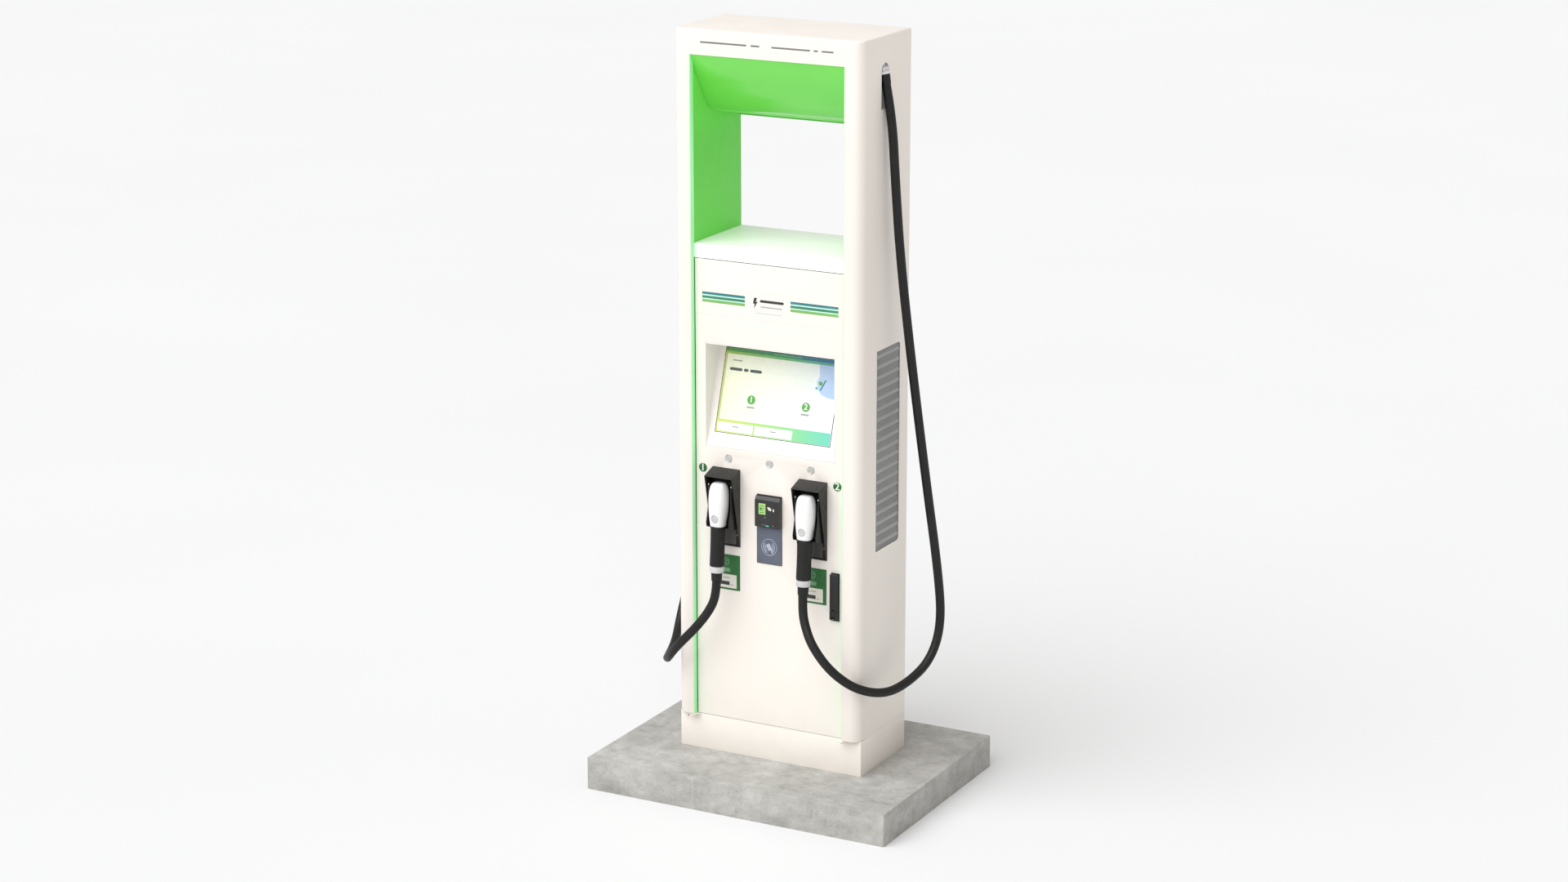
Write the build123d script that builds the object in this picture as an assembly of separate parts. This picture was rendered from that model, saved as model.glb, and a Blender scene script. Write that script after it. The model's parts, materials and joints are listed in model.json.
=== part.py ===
from build123d import *
import os
from math import atan, cos, degrees, radians, sin, tan

# Twin-outlet charging post on a concrete pad, in millimetres.
# +Z is up, -Y is the user's side, +X is right as the user sees it.
# The origin is the bottom centre of the pad.

# ---- driving dimensions ---------------------------------------------------
PAD_W, PAD_D, PAD_H = 1046, 776, 106
POST_W, POST_H = 640, 2300
FRONT_Y = -160  # face of the columns and of the header
DOOR_Y = -140  # face of the door and of the plinth
REAR_Y = 170
SHEET = 3  # steel sheet of every casing
PLINTH_H = 115
COLUMN_W = 58
DOOR_TOP = 1699
SHELF_TOP = 1745
PORTAL_TOP = 2328  # underside of the header at its front edge
PORTAL_BACK = 2099  # lower rear edge of the soffit
CORNER_R = 32  # outer front corners of the columns

BASE_Z = PAD_H
TOP_Z = BASE_Z + POST_H
DOOR_BOTTOM = BASE_Z + PLINTH_H + 2
HALF_W = POST_W / 2
INNER_X = HALF_W - COLUMN_W  # inner face of a column
DOOR_HALF = INNER_X - 4
DOOR_DEPTH = 28

HOLSTER_X = 151.5  # each holster's centre line, left and right of the middle
HOLSTER_HALF = 49
HOOD_BOTTOM, HOOD_TOP = 794, 1044
SEAT_Z, SEAT_Y = 940, -190  # centre of a parked connector's head
PARK_TILT = 4  # degrees that a parked connector leans back at its top
NOSE_R, NOSE_LEN = 27, 58
CABLE_R = 14
HINGE_X, HINGE_Y = -240, -130
PIVOT_R, PIVOT_LEN = 4, 26
HANDLE_X, HANDLE_Z = 229.5, 624

# Route of the right cable's centre line, from its gland to its connector.
# The left cable is its mirror image.
CABLE_ROUTE = [
    (316, -5, 2291),
    (343, -4, 2168),
    (352, 4, 1965),
    (365, 18, 1720),
    (392, 46, 1400),
    (424, 88, 1030),
    (454, 124, 720),
    (463, 134, 550),
    (450, 86, 444),
    (417, -4, 392),
    (381, -100, 376),
    (325, -188, 410),
    (264, -240, 474),
    (202, -244, 548),
    (165, -222, 606),
    (151.5, -210.1, 652.6),
    (151.5, -206.7, 701.5),
]

parts = {}


# ---- helpers --------------------------------------------------------------
def block(x0, x1, y0, y1, z0, z1):
    """A box between two corners."""
    return Pos((x0 + x1) / 2, (y0 + y1) / 2, (z0 + z1) / 2) * Box(x1 - x0, y1 - y0, z1 - z0)


def rod_x(x0, x1, y, z, radius):
    """A cylinder along X."""
    return Pos((x0 + x1) / 2, y, z) * Rot(0, 90, 0) * Cylinder(radius, x1 - x0)


def rod_y(x, y0, y1, z, radius):
    """A cylinder along Y."""
    return Pos(x, (y0 + y1) / 2, z) * Rot(90, 0, 0) * Cylinder(radius, y1 - y0)


def rod_z(x, y, z0, z1, radius):
    """A cylinder along Z."""
    return Pos(x, y, (z0 + z1) / 2) * Cylinder(radius, z1 - z0)


def slab_yz(x0, x1, outline):
    """A plate between two X planes with the given (y, z) outline."""
    low, high = min(x0, x1), max(x0, x1)
    face = make_face(Polyline(*[(low, y, z) for y, z in outline], close=True))
    return extrude(face, amount=high - low, dir=(1, 0, 0))


def grid(count, pitch):
    """Evenly spaced offsets about zero."""
    return [(i - (count - 1) / 2) * pitch for i in range(count)]


def mirrored(shape):
    """The same shape on the other side of the post."""
    return mirror(shape, about=Plane.YZ)


def both(shape):
    """A shape and its mirror image, as two solids."""
    return Compound(children=[shape, mirrored(shape)])


def group(shapes):
    """Separate solids that share a node."""
    return Compound(children=list(shapes))


# ---- foundation -----------------------------------------------------------
CONDUIT_R = 57
CONDUIT_Y = 15
ANCHOR_X, ANCHOR_Y = 250, 110


def concrete_pad():
    pad = block(-PAD_W / 2, PAD_W / 2, -PAD_D / 2, PAD_D / 2, 0, PAD_H)
    pad = chamfer(pad.edges().filter_by(Axis.Z), 2)
    pad = chamfer(pad.faces().sort_by(Axis.Z)[-1].edges(), 2)
    pad -= rod_z(0, CONDUIT_Y, -1, PAD_H + 1, CONDUIT_R)
    for x in (-ANCHOR_X, ANCHOR_X):
        for y in (CONDUIT_Y - ANCHOR_Y, CONDUIT_Y + ANCHOR_Y):
            pad -= rod_z(x, y, 20, PAD_H + 1, 8.3)
    return pad


def anchor_bolts():
    """Four studs in the pad, each with a washer and a nut on the plinth's foot flange."""
    bolts = []
    flange_top = BASE_Z + 8
    for x in (-ANCHOR_X, ANCHOR_X):
        for y in (CONDUIT_Y - ANCHOR_Y, CONDUIT_Y + ANCHOR_Y):
            bolt = rod_z(x, y, 22, flange_top + 34, 8)
            bolt += rod_z(x, y, flange_top, flange_top + 3, 16)
            nut = RegularPolygon(14, 6)
            bolt += Pos(x, y, flange_top + 3) * extrude(nut, amount=14)
            bolts.append(bolt)
    return group(bolts)


def plinth():
    """Steel skirt with a foot flange inside it and a deck rail for the door's lower pivot."""
    top = BASE_Z + PLINTH_H
    ring = block(-HALF_W, HALF_W, DOOR_Y, REAR_Y, BASE_Z, top)
    ring -= block(-HALF_W + 8, HALF_W - 8, DOOR_Y + 8, REAR_Y - 8, BASE_Z - 1, top + 1)
    flange = block(-HALF_W + 8, HALF_W - 8, DOOR_Y + 8, REAR_Y - 8, BASE_Z, BASE_Z + 8)
    flange -= block(-215, 215, -75, 105, BASE_Z - 1, BASE_Z + 9)
    for x in (-ANCHOR_X, ANCHOR_X):
        for y in (CONDUIT_Y - ANCHOR_Y, CONDUIT_Y + ANCHOR_Y):
            flange -= rod_z(x, y, BASE_Z - 1, BASE_Z + 9, 8.6)
    rail = block(-HALF_W + 8, HALF_W - 8, DOOR_Y + 8, -100, top - 6, top)
    return ring + flange + rail - rod_z(HINGE_X, HINGE_Y, top - 6, top + 1, PIVOT_R)


# ---- casing ---------------------------------------------------------------
VENT = dict(y0=-47, y1=114, z0=812, z1=1448)
OUTLET = dict(y0=-30, y1=19.5, z0=2185, z1=2324, depth=42)
CAP_H = 6
GLAND_R, GLAND_MOUTH_R, GLAND_LEN = 17.5, 16, 20
GLAND_STEM_R, GLAND_STEM_LEN = 8, 11


def slot_solid(x0, x1, grow=0.0):
    """The cable outlet's outline, flat at the bottom and round at the top."""
    width = OUTLET["y1"] - OUTLET["y0"] + 2 * grow
    middle = (OUTLET["y0"] + OUTLET["y1"]) / 2
    shoulder = OUTLET["z1"] + grow - width / 2
    body = block(x0, x1, middle - width / 2, middle + width / 2, OUTLET["z0"] - grow, shoulder)
    return body + rod_x(x0, x1, middle, shoulder, width / 2)


def column():
    """Right column: a folded channel with a rounded outer front corner, open towards the middle."""
    z0, z1 = BASE_Z + PLINTH_H + 0.5, TOP_Z - CAP_H
    outer = block(INNER_X, HALF_W, FRONT_Y, REAR_Y, z0, z1)
    corner = outer.edges().filter_by(Axis.Z).sort_by(Axis.Y)[:2].sort_by(Axis.X)[-1]
    outer = fillet(corner, CORNER_R)
    inner = block(INNER_X + SHEET, HALF_W - SHEET, FRONT_Y + SHEET, REAR_Y - SHEET, z0 - 1, z1 - SHEET)
    corner = inner.edges().filter_by(Axis.Z).sort_by(Axis.Y)[:2].sort_by(Axis.X)[-1]
    inner = fillet(corner, CORNER_R - SHEET)
    channel = outer - inner
    channel -= block(INNER_X - 1, INNER_X + 6, DOOR_Y + SHEET, REAR_Y + 1, z0 - 1, z1 - SHEET)
    vent_x = (HALF_W - 10, HALF_W + 1)
    channel -= block(*vent_x, VENT["y0"], VENT["y1"], VENT["z0"], VENT["z1"])
    channel -= slot_solid(HALF_W - 10, HALF_W + 1)
    return channel


def header():
    """Front beam over the portal, a channel open to the rear."""
    beam = block(-INNER_X + 0.2, INNER_X - 0.2, FRONT_Y, REAR_Y, PORTAL_TOP, TOP_Z - CAP_H)
    beam -= block(-INNER_X, INNER_X, FRONT_Y + SHEET, REAR_Y + 1, PORTAL_TOP + SHEET, TOP_Z)
    beam -= block(-INNER_X, INNER_X, FRONT_Y + 12, REAR_Y + 1, PORTAL_TOP - 1, TOP_Z)
    return beam


def top_cap():
    cap = block(-HALF_W, HALF_W, FRONT_Y, REAR_Y, TOP_Z - CAP_H, TOP_Z)
    front = cap.edges().filter_by(Axis.Z).sort_by(Axis.Y)[:2]
    return fillet(front, CORNER_R)


def soffit_outline(inset):
    """(y, z) path under the portal's roof, steep in front and nearly flat behind."""
    return FilletPolyline(
        (0, FRONT_Y + 4, PORTAL_TOP - inset),
        (0, -47, 2150 - inset),
        (0, REAR_Y, PORTAL_BACK - inset),
        radius=90,
    )


def portal_soffit():
    """Curved sheet over the portal, closed at the rear up to the cap."""
    path = soffit_outline(0)
    start, end = path @ 0, path @ 1
    roof_z = TOP_Z - CAP_H - SHEET - 0.2
    rest = Polyline(
        (0, end.Y, end.Z),
        (0, REAR_Y, roof_z),
        (0, REAR_Y - SHEET, roof_z),
        (0, REAR_Y - SHEET, PORTAL_BACK + 8),
        (0, -30, PORTAL_BACK + 60),
        (0, start.Y + 6, start.Z),
        (0, start.Y, start.Z),
    )
    face = make_face(Wire([*path.edges(), *rest.edges()]))
    half = INNER_X + 2
    sheet = Pos(-half, 0, 0) * extrude(face, amount=2 * half, dir=(1, 0, 0))
    for sign in (-1, 1):
        lip = sorted((sign * (INNER_X - 1.7), sign * (INNER_X + 10)))
        sheet -= block(*lip, -200, DOOR_Y + SHEET + 0.3, 2000, 2500)
    return sheet


def portal_liner():
    """Right cheek of the portal."""
    x0 = INNER_X + 2.5
    return block(x0, x0 + SHEET, DOOR_Y + SHEET, REAR_Y, SHELF_TOP - 40, PORTAL_TOP - 0.5)


def portal_shelf():
    """Hollow shelf that closes the cabinet and floors the portal."""
    half = INNER_X + 2.2
    shelf = block(-half, half, DOOR_Y, REAR_Y, DOOR_TOP + 2, SHELF_TOP)
    top_front = shelf.edges().filter_by(Axis.X).sort_by(Axis.Y)[:2].sort_by(Axis.Z)[-1]
    shelf = fillet(top_front, 7)
    shelf -= block(-half + 3, half - 3, DOOR_Y + 8, REAR_Y + 1, DOOR_TOP + 8, SHELF_TOP - 3)
    front_x = INNER_X - 0.5
    for sign in (-1, 1):
        shelf -= block(*sorted((sign * front_x, sign * 400)), -200, DOOR_Y + SHEET + 0.5, 1600, 1800)
    shelf -= rod_z(HINGE_X, HINGE_Y, DOOR_TOP, DOOR_TOP + 10, 4)
    return shelf


def edge_light():
    """Right light strip on a column's inner edge."""
    return block(INNER_X - 1.5, INNER_X, FRONT_Y + 1.5, DOOR_Y - 0.5, DOOR_BOTTOM, PORTAL_TOP - 1)


def rear_panel():
    """Rear cover with its screw holes."""
    half = INNER_X + 5.5
    panel = block(-half, half, REAR_Y - SHEET, REAR_Y, BASE_Z + PLINTH_H + 1, DOOR_TOP + 1.5)
    for x, z in rear_screw_places():
        panel -= rod_y(x, REAR_Y - SHEET - 1, REAR_Y + 1, z, 3.2)
    return panel


def rear_screw_places():
    """(x, z) of the rear panel's screws, down both edges."""
    return [(x, z) for x in (-248, 248) for z in (260, 722, 1184, 1646)]


def rear_screws():
    return group(
        rod_y(x, REAR_Y, REAR_Y + 3, z, 6) + rod_y(x, REAR_Y - 12, REAR_Y, z, 3)
        for x, z in rear_screw_places()
    )


def vent_grille():
    """Right louvre panel, set flush in the column's side."""
    gap = 0.5
    y0, y1, z0, z1 = VENT["y0"] + gap, VENT["y1"] - gap, VENT["z0"] + gap, VENT["z1"] - gap
    panel = block(HALF_W - 7, HALF_W - 1, y0, y1, z0, z1)
    panel = fillet(panel.edges().filter_by(Axis.X), 6)
    blades = 19
    pitch = (z1 - z0) / blades
    for dz in grid(blades, pitch):
        middle = (z0 + z1) / 2 + dz
        slope = [
            (y0 + 10, middle - 4),
            (y1 - 10, middle - 4),
            (y1 - 10, middle + 6),
            (y0 + 10, middle + 6),
        ]
        panel -= slab_yz(HALF_W - 8, HALF_W, slope)
    return panel


def outlet_pocket():
    """Right moulded pocket that the cable comes out of."""
    x0, x1 = HALF_W - OUTLET["depth"], HALF_W - SHEET - 0.2
    shell = slot_solid(x0, x1, grow=2.5)
    return shell - slot_solid(x0 + 2.5, x1 + 1)


def outlet_line(start, stop, radius, end_radius=None):
    """A cylinder or cone on the cable's first stretch; 0 is the cable's start, and negative is up."""
    first, second = Vector(*CABLE_ROUTE[0]), Vector(*CABLE_ROUTE[1])
    down = (second - first).normalized()
    plane = Plane(origin=first + down * start, z_dir=down)
    if end_radius is None:
        return plane * extrude(Circle(radius), amount=stop - start)
    near, far = plane * Circle(radius), plane.offset(stop - start) * Circle(end_radius)
    return loft([near, far])


def cable_gland():
    """Right gland, tapering towards its mouth, on a stem from the pocket's ceiling."""
    cone = outlet_line(-GLAND_LEN, 0, GLAND_R, GLAND_MOUTH_R)
    return cone + outlet_line(-GLAND_LEN - GLAND_STEM_LEN, -GLAND_LEN, GLAND_STEM_R)


def cable_tube():
    """Right cable: straight runs joined by tangent arcs."""
    points = [Vector(*p) for p in CABLE_ROUTE]
    runs = [b - a for a, b in zip(points, points[1:])]
    radii = []
    for before, after in zip(runs, runs[1:]):
        turn = before.get_angle(after)
        shorter = min(before.length, after.length)
        radii.append(0.45 * shorter / tan(radians(turn) / 2))
    path = FilletPolyline(*points, radius=radii)
    section = Plane(origin=points[0], z_dir=runs[0]) * Circle(CABLE_R)
    tube = sweep(section, path=path)
    print("cable radii", [round(r) for r in radii])
    print("cable length", round(path.length), "volume ratio", tube.volume / (section.area * path.length))
    return tube


# ---- equipment inside -----------------------------------------------------
FAN_X, FAN_Y, FAN_Z = 290, 33.5, 1300
FAN_HALF, FAN_DEPTH = 60, 38
TOGGLE_Y, TOGGLE_Z = 90, 1290


def mounting_plate():
    return block(-236, 236, 148, 151, 250, 1660)


def power_modules():
    """Rectifier modules stacked in the lower cabinet."""
    return group(
        block(-205, 205, -30, 147.5, 262 + 104 * i, 262 + 104 * i + 98) for i in range(4)
    )


def main_breaker():
    """Moulded-case breaker with a slot for its toggle."""
    case = block(-190, -70, 70, 147.5, 1200, 1380)
    case -= block(-142, -118, 69, 101, TOGGLE_Z - 40, TOGGLE_Z + 40)
    return case - rod_x(-152, -108, TOGGLE_Y, TOGGLE_Z, 3.05)


def breaker_toggle():
    """Toggle in its on position, leaning up, on a cross pin."""
    toggle = rod_x(-140, -120, TOGGLE_Y, TOGGLE_Z, 9) + rod_x(-150, -110, TOGGLE_Y, TOGGLE_Z, 3)
    arm = Pos(-130, TOGGLE_Y, TOGGLE_Z) * Rot(-25, 0, 0) * Pos(0, -22, 0) * Box(8, 34, 8)
    return toggle + arm


def contactors():
    """Two output contactors and the busbars above them."""
    solids = []
    for x in (20, 120):
        solids.append(block(x, x + 80, 60, 147.5, 1210, 1330))
    for y in (90, 120):
        solids.append(block(20, 200, y, y + 6, 1345, 1375))
    return group(solids)


def control_board():
    board = block(-190, 190, 128, 130, 1440, 1620)
    for x in (-175, 175):
        for z in (1455, 1605):
            board += rod_y(x, 130, 147.5, z, 5)
    for x in (-140, -60, 40, 120):
        board += block(x - 20, x + 20, 112, 128, 1500, 1560)
    return board


def coolant_unit():
    """Reservoir with its pump, for the cooled cables."""
    tank = block(-190, -20, 40, 147, 850, 1060)
    tank = fillet(tank.edges().filter_by(Axis.Z), 12)
    tank -= block(-184, -26, 46, 141, 856, 1054)
    tank += rod_z(-105, 93, 1059, 1075, 22)
    pump = block(20, 120, 50, 147, 860, 960)
    motor = rod_z(70, 98, 960, 1040, 36)
    return group([tank, pump + motor])


def fan_shroud():
    """Right fan's square frame with its motor held on four struts."""
    x0, x1 = FAN_X - FAN_DEPTH / 2, FAN_X + FAN_DEPTH / 2
    y0, y1 = FAN_Y - FAN_HALF, FAN_Y + FAN_HALF
    frame = block(x0, x1, y0, y1, FAN_Z - FAN_HALF, FAN_Z + FAN_HALF)
    frame -= rod_x(x0 - 1, x1 + 1, FAN_Y, FAN_Z, FAN_HALF - 4)
    back = x0 + 4
    frame += block(x0, back, y0 + 2, y1 - 2, FAN_Z - 4, FAN_Z + 4)
    frame += block(x0, back, FAN_Y - 4, FAN_Y + 4, FAN_Z - FAN_HALF + 2, FAN_Z + FAN_HALF - 2)
    frame += rod_x(x0, x0 + 12, FAN_Y, FAN_Z, 5)
    return frame


def fan_rotor():
    """Right fan's hub and seven blades, running on the shroud's stub shaft."""
    x0 = FAN_X - FAN_DEPTH / 2 + 6
    x1 = x0 + 24
    rotor = rod_x(x0, x1, FAN_Y, FAN_Z, 20)
    blades = 7
    for i in range(blades):
        blade = Pos(x0 + 12, 0, 34) * Rot(0, 0, 35) * Box(3, 24, 34)
        rotor += Pos(0, FAN_Y, FAN_Z) * Rot(i * 360 / blades, 0, 0) * blade
    return rotor - rod_x(x0 - 1, x0 + 8, FAN_Y, FAN_Z, 5.05)


# ---- front door -----------------------------------------------------------
SCREEN_HALF = 226
SCREEN_LOW = (DOOR_Y + 2.5, 1111)  # (y, z) of the sloping panel's lower edge
SCREEN_HIGH = (-44, 1411)
RECESS_TOP = 1437
DISPLAY_W, DISPLAY_H = 402, 268
DISPLAY_START = 42  # from the sloping panel's lower edge to the glass
LOCK_X, LOCK_Z, LOCK_R = 143.5, 1076, 10
READER = dict(half=44, z0=753, z1=976, body=875)
LABEL = dict(half=49, z0=649, z1=764)

slope_run = SCREEN_HIGH[0] - SCREEN_LOW[0]
slope_rise = SCREEN_HIGH[1] - SCREEN_LOW[1]
SCREEN_TILT = degrees(atan(slope_run / slope_rise))


def screen_place(up, out):
    """Frame of the sloping panel: its local X is the post's X, and its local Z points out at the user."""
    tilt = radians(SCREEN_TILT)
    y = SCREEN_LOW[0] + up * sin(tilt) - out * cos(tilt)
    z = SCREEN_LOW[1] + up * cos(tilt) + out * sin(tilt)
    return Plane(origin=(0, y, z), x_dir=(1, 0, 0), z_dir=(0, -cos(tilt), sin(tilt)))


def front_door():
    """Folded steel tray with cut-outs for what it carries."""
    y_back = DOOR_Y + DOOR_DEPTH
    tray = block(-DOOR_HALF, DOOR_HALF, DOOR_Y, y_back, DOOR_BOTTOM, DOOR_TOP)
    wall = 2.5
    inner_half = DOOR_HALF - wall
    tray -= block(-inner_half, inner_half, DOOR_Y + wall, y_back + 1, DOOR_BOTTOM + wall, DOOR_TOP - wall)
    for z in (DOOR_BOTTOM + 1, DOOR_TOP - 16):
        tray += rod_z(HINGE_X, HINGE_Y, z, z + 15, 7)
    tray -= rod_z(HINGE_X, HINGE_Y, 0, DOOR_BOTTOM + PIVOT_LEN, PIVOT_R + 0.05)
    tray -= rod_z(HINGE_X, HINGE_Y, DOOR_TOP - PIVOT_LEN, 1800, PIVOT_R + 0.05)
    tray -= block(-SCREEN_HALF - 0.3, SCREEN_HALF + 0.3, -150, -130, 1108, RECESS_TOP + 0.3)
    for x in (-HOLSTER_X, HOLSTER_X):
        tray -= block(x - 37, x + 37, -150, -130, 862, 998)
    for x in (-LOCK_X, 0, LOCK_X):
        tray -= rod_y(x, -150, -130, LOCK_Z, LOCK_R + 0.2)
    return tray - rod_y(HANDLE_X, -150, -130, HANDLE_Z, 8)


def hinge_pins():
    """Pivot pins fixed in the plinth's rail and in the shelf."""
    low = rod_z(HINGE_X, HINGE_Y, DOOR_BOTTOM - 8, DOOR_BOTTOM + 14, PIVOT_R)
    high = rod_z(HINGE_X, HINGE_Y, DOOR_TOP - 14, DOOR_TOP + 8, PIVOT_R)
    return group([low, high])


def door_gasket():
    """Seal around the tray's rear edge."""
    y0 = DOOR_Y + DOOR_DEPTH
    outer, inner = DOOR_HALF - 2, DOOR_HALF - 10
    seal = block(-outer, outer, y0, y0 + 6, DOOR_BOTTOM + 2, DOOR_TOP - 2)
    return seal - block(-inner, inner, y0 - 1, y0 + 7, DOOR_BOTTOM + 10, DOOR_TOP - 10)


def graphic_band():
    """Printed strip across the door."""
    return block(-DOOR_HALF + 3, DOOR_HALF - 3, DOOR_Y - 1.5, DOOR_Y, 1527, 1620)


def screen_bezel():
    """Recess around the screen: two cheeks, a roof and the sloping panel with its window."""
    y0, z0 = SCREEN_LOW
    y1, z1 = SCREEN_HIGH
    outline = [(DOOR_Y, z0 - 2.5), (y0 + 3, z0 - 2.5), (y1 + 4, z1 + 4), (DOOR_Y, RECESS_TOP)]
    solid = slab_yz(-SCREEN_HALF, SCREEN_HALF, outline)
    hollow = [(DOOR_Y - 1, z0), (y0, z0), (y1, z1), (DOOR_Y - 1, RECESS_TOP - 3)]
    solid -= slab_yz(-SCREEN_HALF + 3, SCREEN_HALF - 3, hollow)
    window = screen_place(DISPLAY_START + DISPLAY_H / 2, -10)
    return solid - window * extrude(Rectangle(DISPLAY_W, DISPLAY_H), amount=20)


def touch_screen():
    """Glass of the display, flush in the sloping panel."""
    place = screen_place(DISPLAY_START + DISPLAY_H / 2, -3)
    return place * extrude(Rectangle(DISPLAY_W - 1, DISPLAY_H - 1), amount=3)


def display_unit():
    """Display's metal housing, behind the glass."""
    place = screen_place(DISPLAY_START + DISPLAY_H / 2, -34)
    return place * extrude(Rectangle(DISPLAY_W - 8, DISPLAY_H - 8), amount=30)


def holster_hood(x):
    """Wedge-shaped hood: roof, two tapering walls, a bottom rim and a back frame."""
    outline = [(DOOR_Y, HOOD_TOP), (-195, 1026), (-145, 797), (-145, HOOD_BOTTOM), (DOOR_Y, HOOD_BOTTOM)]
    hood = slab_yz(x - HOLSTER_HALF, x + HOLSTER_HALF, outline)
    hollow = [(-143, 1040.5), (-300, 989), (-300, 797), (-143, 797)]
    hood -= slab_yz(x - HOLSTER_HALF + 3, x + HOLSTER_HALF - 3, hollow)
    return hood - block(x - 36, x + 36, -150, -130, 862, 998)


def nose_line(x, start, stop, radius):
    """A cylinder on a parked connector's nose axis; distances run inwards from the head's centre."""
    tilt = radians(PARK_TILT)
    inward = Vector(0, cos(tilt), -sin(tilt))
    place = Plane(origin=Vector(x, SEAT_Y, SEAT_Z) + inward * start, z_dir=inward)
    return place * extrude(Circle(radius), amount=stop - start)


def holster_cradle(x):
    """Bucket inside the hood: back wall, two cheeks, a notched floor and the blind socket."""
    back = block(x - 41, x + 41, -147, -143.2, 853, 1003)
    under = [(-196, 864), (-160, 853), (-143.2, 853)]
    cheek = [(-143.2, 1003), (-184, 1003), (-186, 929), (-199, 878), *under]
    left = slab_yz(x - 41, x - 38, cheek)
    right = slab_yz(x + 38, x + 41, cheek)
    floor = slab_yz(x - 38, x + 38, [*under, (-143.2, 856), (-160, 856), (-196, 867)])
    floor -= block(x - 27, x + 27, -210, -163, 840, 880)
    socket = nose_line(x, 36, 98, NOSE_R + 6)
    return (back + left + right + floor + socket) - nose_line(x, 20, 95, NOSE_R + 0.6)


def reader_plate():
    """Backing plate of the card reader, with the payment panel below it."""
    return block(-READER["half"], READER["half"], DOOR_Y - 2, DOOR_Y, READER["z0"], READER["z1"])


def payment_panel():
    """Contactless panel under the reader."""
    return block(-43, 43, DOOR_Y - 3, DOOR_Y - 2, READER["z0"] + 2, READER["body"] - 1)


def card_reader():
    body = block(-43, 43, DOOR_Y - 17, DOOR_Y - 2, READER["body"], READER["z1"] - 3)
    front = body.faces().sort_by(Axis.Y)[0].edges()
    return fillet(front, 2)


def door_labels():
    """Number discs above the holsters and rating plates below them."""
    solids = []
    for x in (-234.5, 234.5):
        solids.append(rod_y(x, DOOR_Y - 1, DOOR_Y, 1035, 13))
    for x in (-HOLSTER_X - 2, HOLSTER_X - 2):
        x0, x1 = x - LABEL["half"], x + LABEL["half"]
        solids.append(block(x0, x1, DOOR_Y - 1, DOOR_Y, LABEL["z0"], LABEL["z1"]))
    return group(solids)


def quarter_lock(x):
    """Round lock plug with a key slot and a short cam behind the door."""
    plug = rod_y(x, DOOR_Y - 2, DOOR_Y + 14, LOCK_Z, LOCK_R)
    plug += rod_y(x, DOOR_Y - 2, DOOR_Y - 0.2, LOCK_Z, LOCK_R + 2)
    plug -= block(x - 1, x + 1, DOOR_Y - 3, DOOR_Y + 4, LOCK_Z - 5, LOCK_Z + 5)
    return plug + block(x - 5, x + 5, DOOR_Y + 10, DOOR_Y + 14, LOCK_Z, LOCK_Z + 22)


def handle_base():
    """Escutcheon plate under the swing handle."""
    plate = block(HANDLE_X - 14.5, HANDLE_X + 14.5, DOOR_Y - 4, DOOR_Y, 604, 758)
    plate = fillet(plate.edges().filter_by(Axis.Y), 3)
    return plate - rod_y(HANDLE_X, -150, -130, HANDLE_Z, 8)


def handle_hub():
    """Spindle of the swing handle: a fork in front, a cam behind the door."""
    hub = rod_y(HANDLE_X, DOOR_Y - 16, DOOR_Y - 4.3, HANDLE_Z, 13)
    hub -= block(HANDLE_X - 7, HANDLE_X + 7, DOOR_Y - 17, DOOR_Y - 5.5, HANDLE_Z - 14, HANDLE_Z + 14)
    hub += rod_y(HANDLE_X, DOOR_Y - 5.5, DOOR_Y + 22, HANDLE_Z, 7.9)
    hub += block(HANDLE_X, HANDLE_X + 22, DOOR_Y + 18, DOOR_Y + 22, HANDLE_Z - 8, HANDLE_Z + 8)
    return hub - rod_x(HANDLE_X - 14, HANDLE_X + 14, DOOR_Y - 11.5, HANDLE_Z, 2.05)


def handle_lever():
    """Lever that lifts out of line on a cross pin in the hub's fork."""
    y0, y1 = DOOR_Y - 15.5, DOOR_Y - 7.5
    lever = block(HANDLE_X - 6.5, HANDLE_X + 6.5, y0, y1, HANDLE_Z - 4, HANDLE_Z + 24)
    lever += block(HANDLE_X - 13, HANDLE_X + 13, y0, y1, HANDLE_Z + 15, 756)
    return lever + rod_x(HANDLE_X - 12.5, HANDLE_X + 12.5, DOOR_Y - 11.5, HANDLE_Z, 2)


# ---- connectors -----------------------------------------------------------
GRIP_R, GRIP_LEN = 21.5, 126
HEAD_HALF_H = 71
BUTTON_DROP = -44  # from the head's centre down to the button


def connector_place(x):
    """Frame of a parked connector: local Z runs up the grip, local Y towards the post."""
    return Location((x, SEAT_Y, SEAT_Z), (-PARK_TILT, 0, 0))


def connector_shell(x):
    """White head of the connector."""
    head = Box(62, 56, 2 * HEAD_HALF_H)
    head = fillet(head.edges().filter_by(Axis.Z), 24)
    head = fillet(head.faces().sort_by(Axis.Z)[-1].edges(), 20)
    head -= Pos(0, -28, BUTTON_DROP) * Rot(90, 0, 0) * Cylinder(12.3, 18)
    return connector_place(x) * head


def connector_button(x):
    """Round release button in the head's front."""
    return connector_place(x) * (Pos(0, -25.5, BUTTON_DROP) * Rot(90, 0, 0) * Cylinder(12, 4))


def connector_nose(x):
    """Nose with its ring of contact wells, seated in the blind socket."""
    nose = nose_line(x, 28, 28 + NOSE_LEN, NOSE_R)
    tilt = radians(PARK_TILT)
    inward = Vector(0, cos(tilt), -sin(tilt))
    face = Plane(
        origin=Vector(x, SEAT_Y, SEAT_Z) + inward * (28 + NOSE_LEN), x_dir=(1, 0, 0), z_dir=inward
    )
    wells = face * extrude(
        Sketch() + [loc * Circle(5) for loc in PolarLocations(15, 6)] + Circle(6), amount=-30
    )
    return nose - wells


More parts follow.
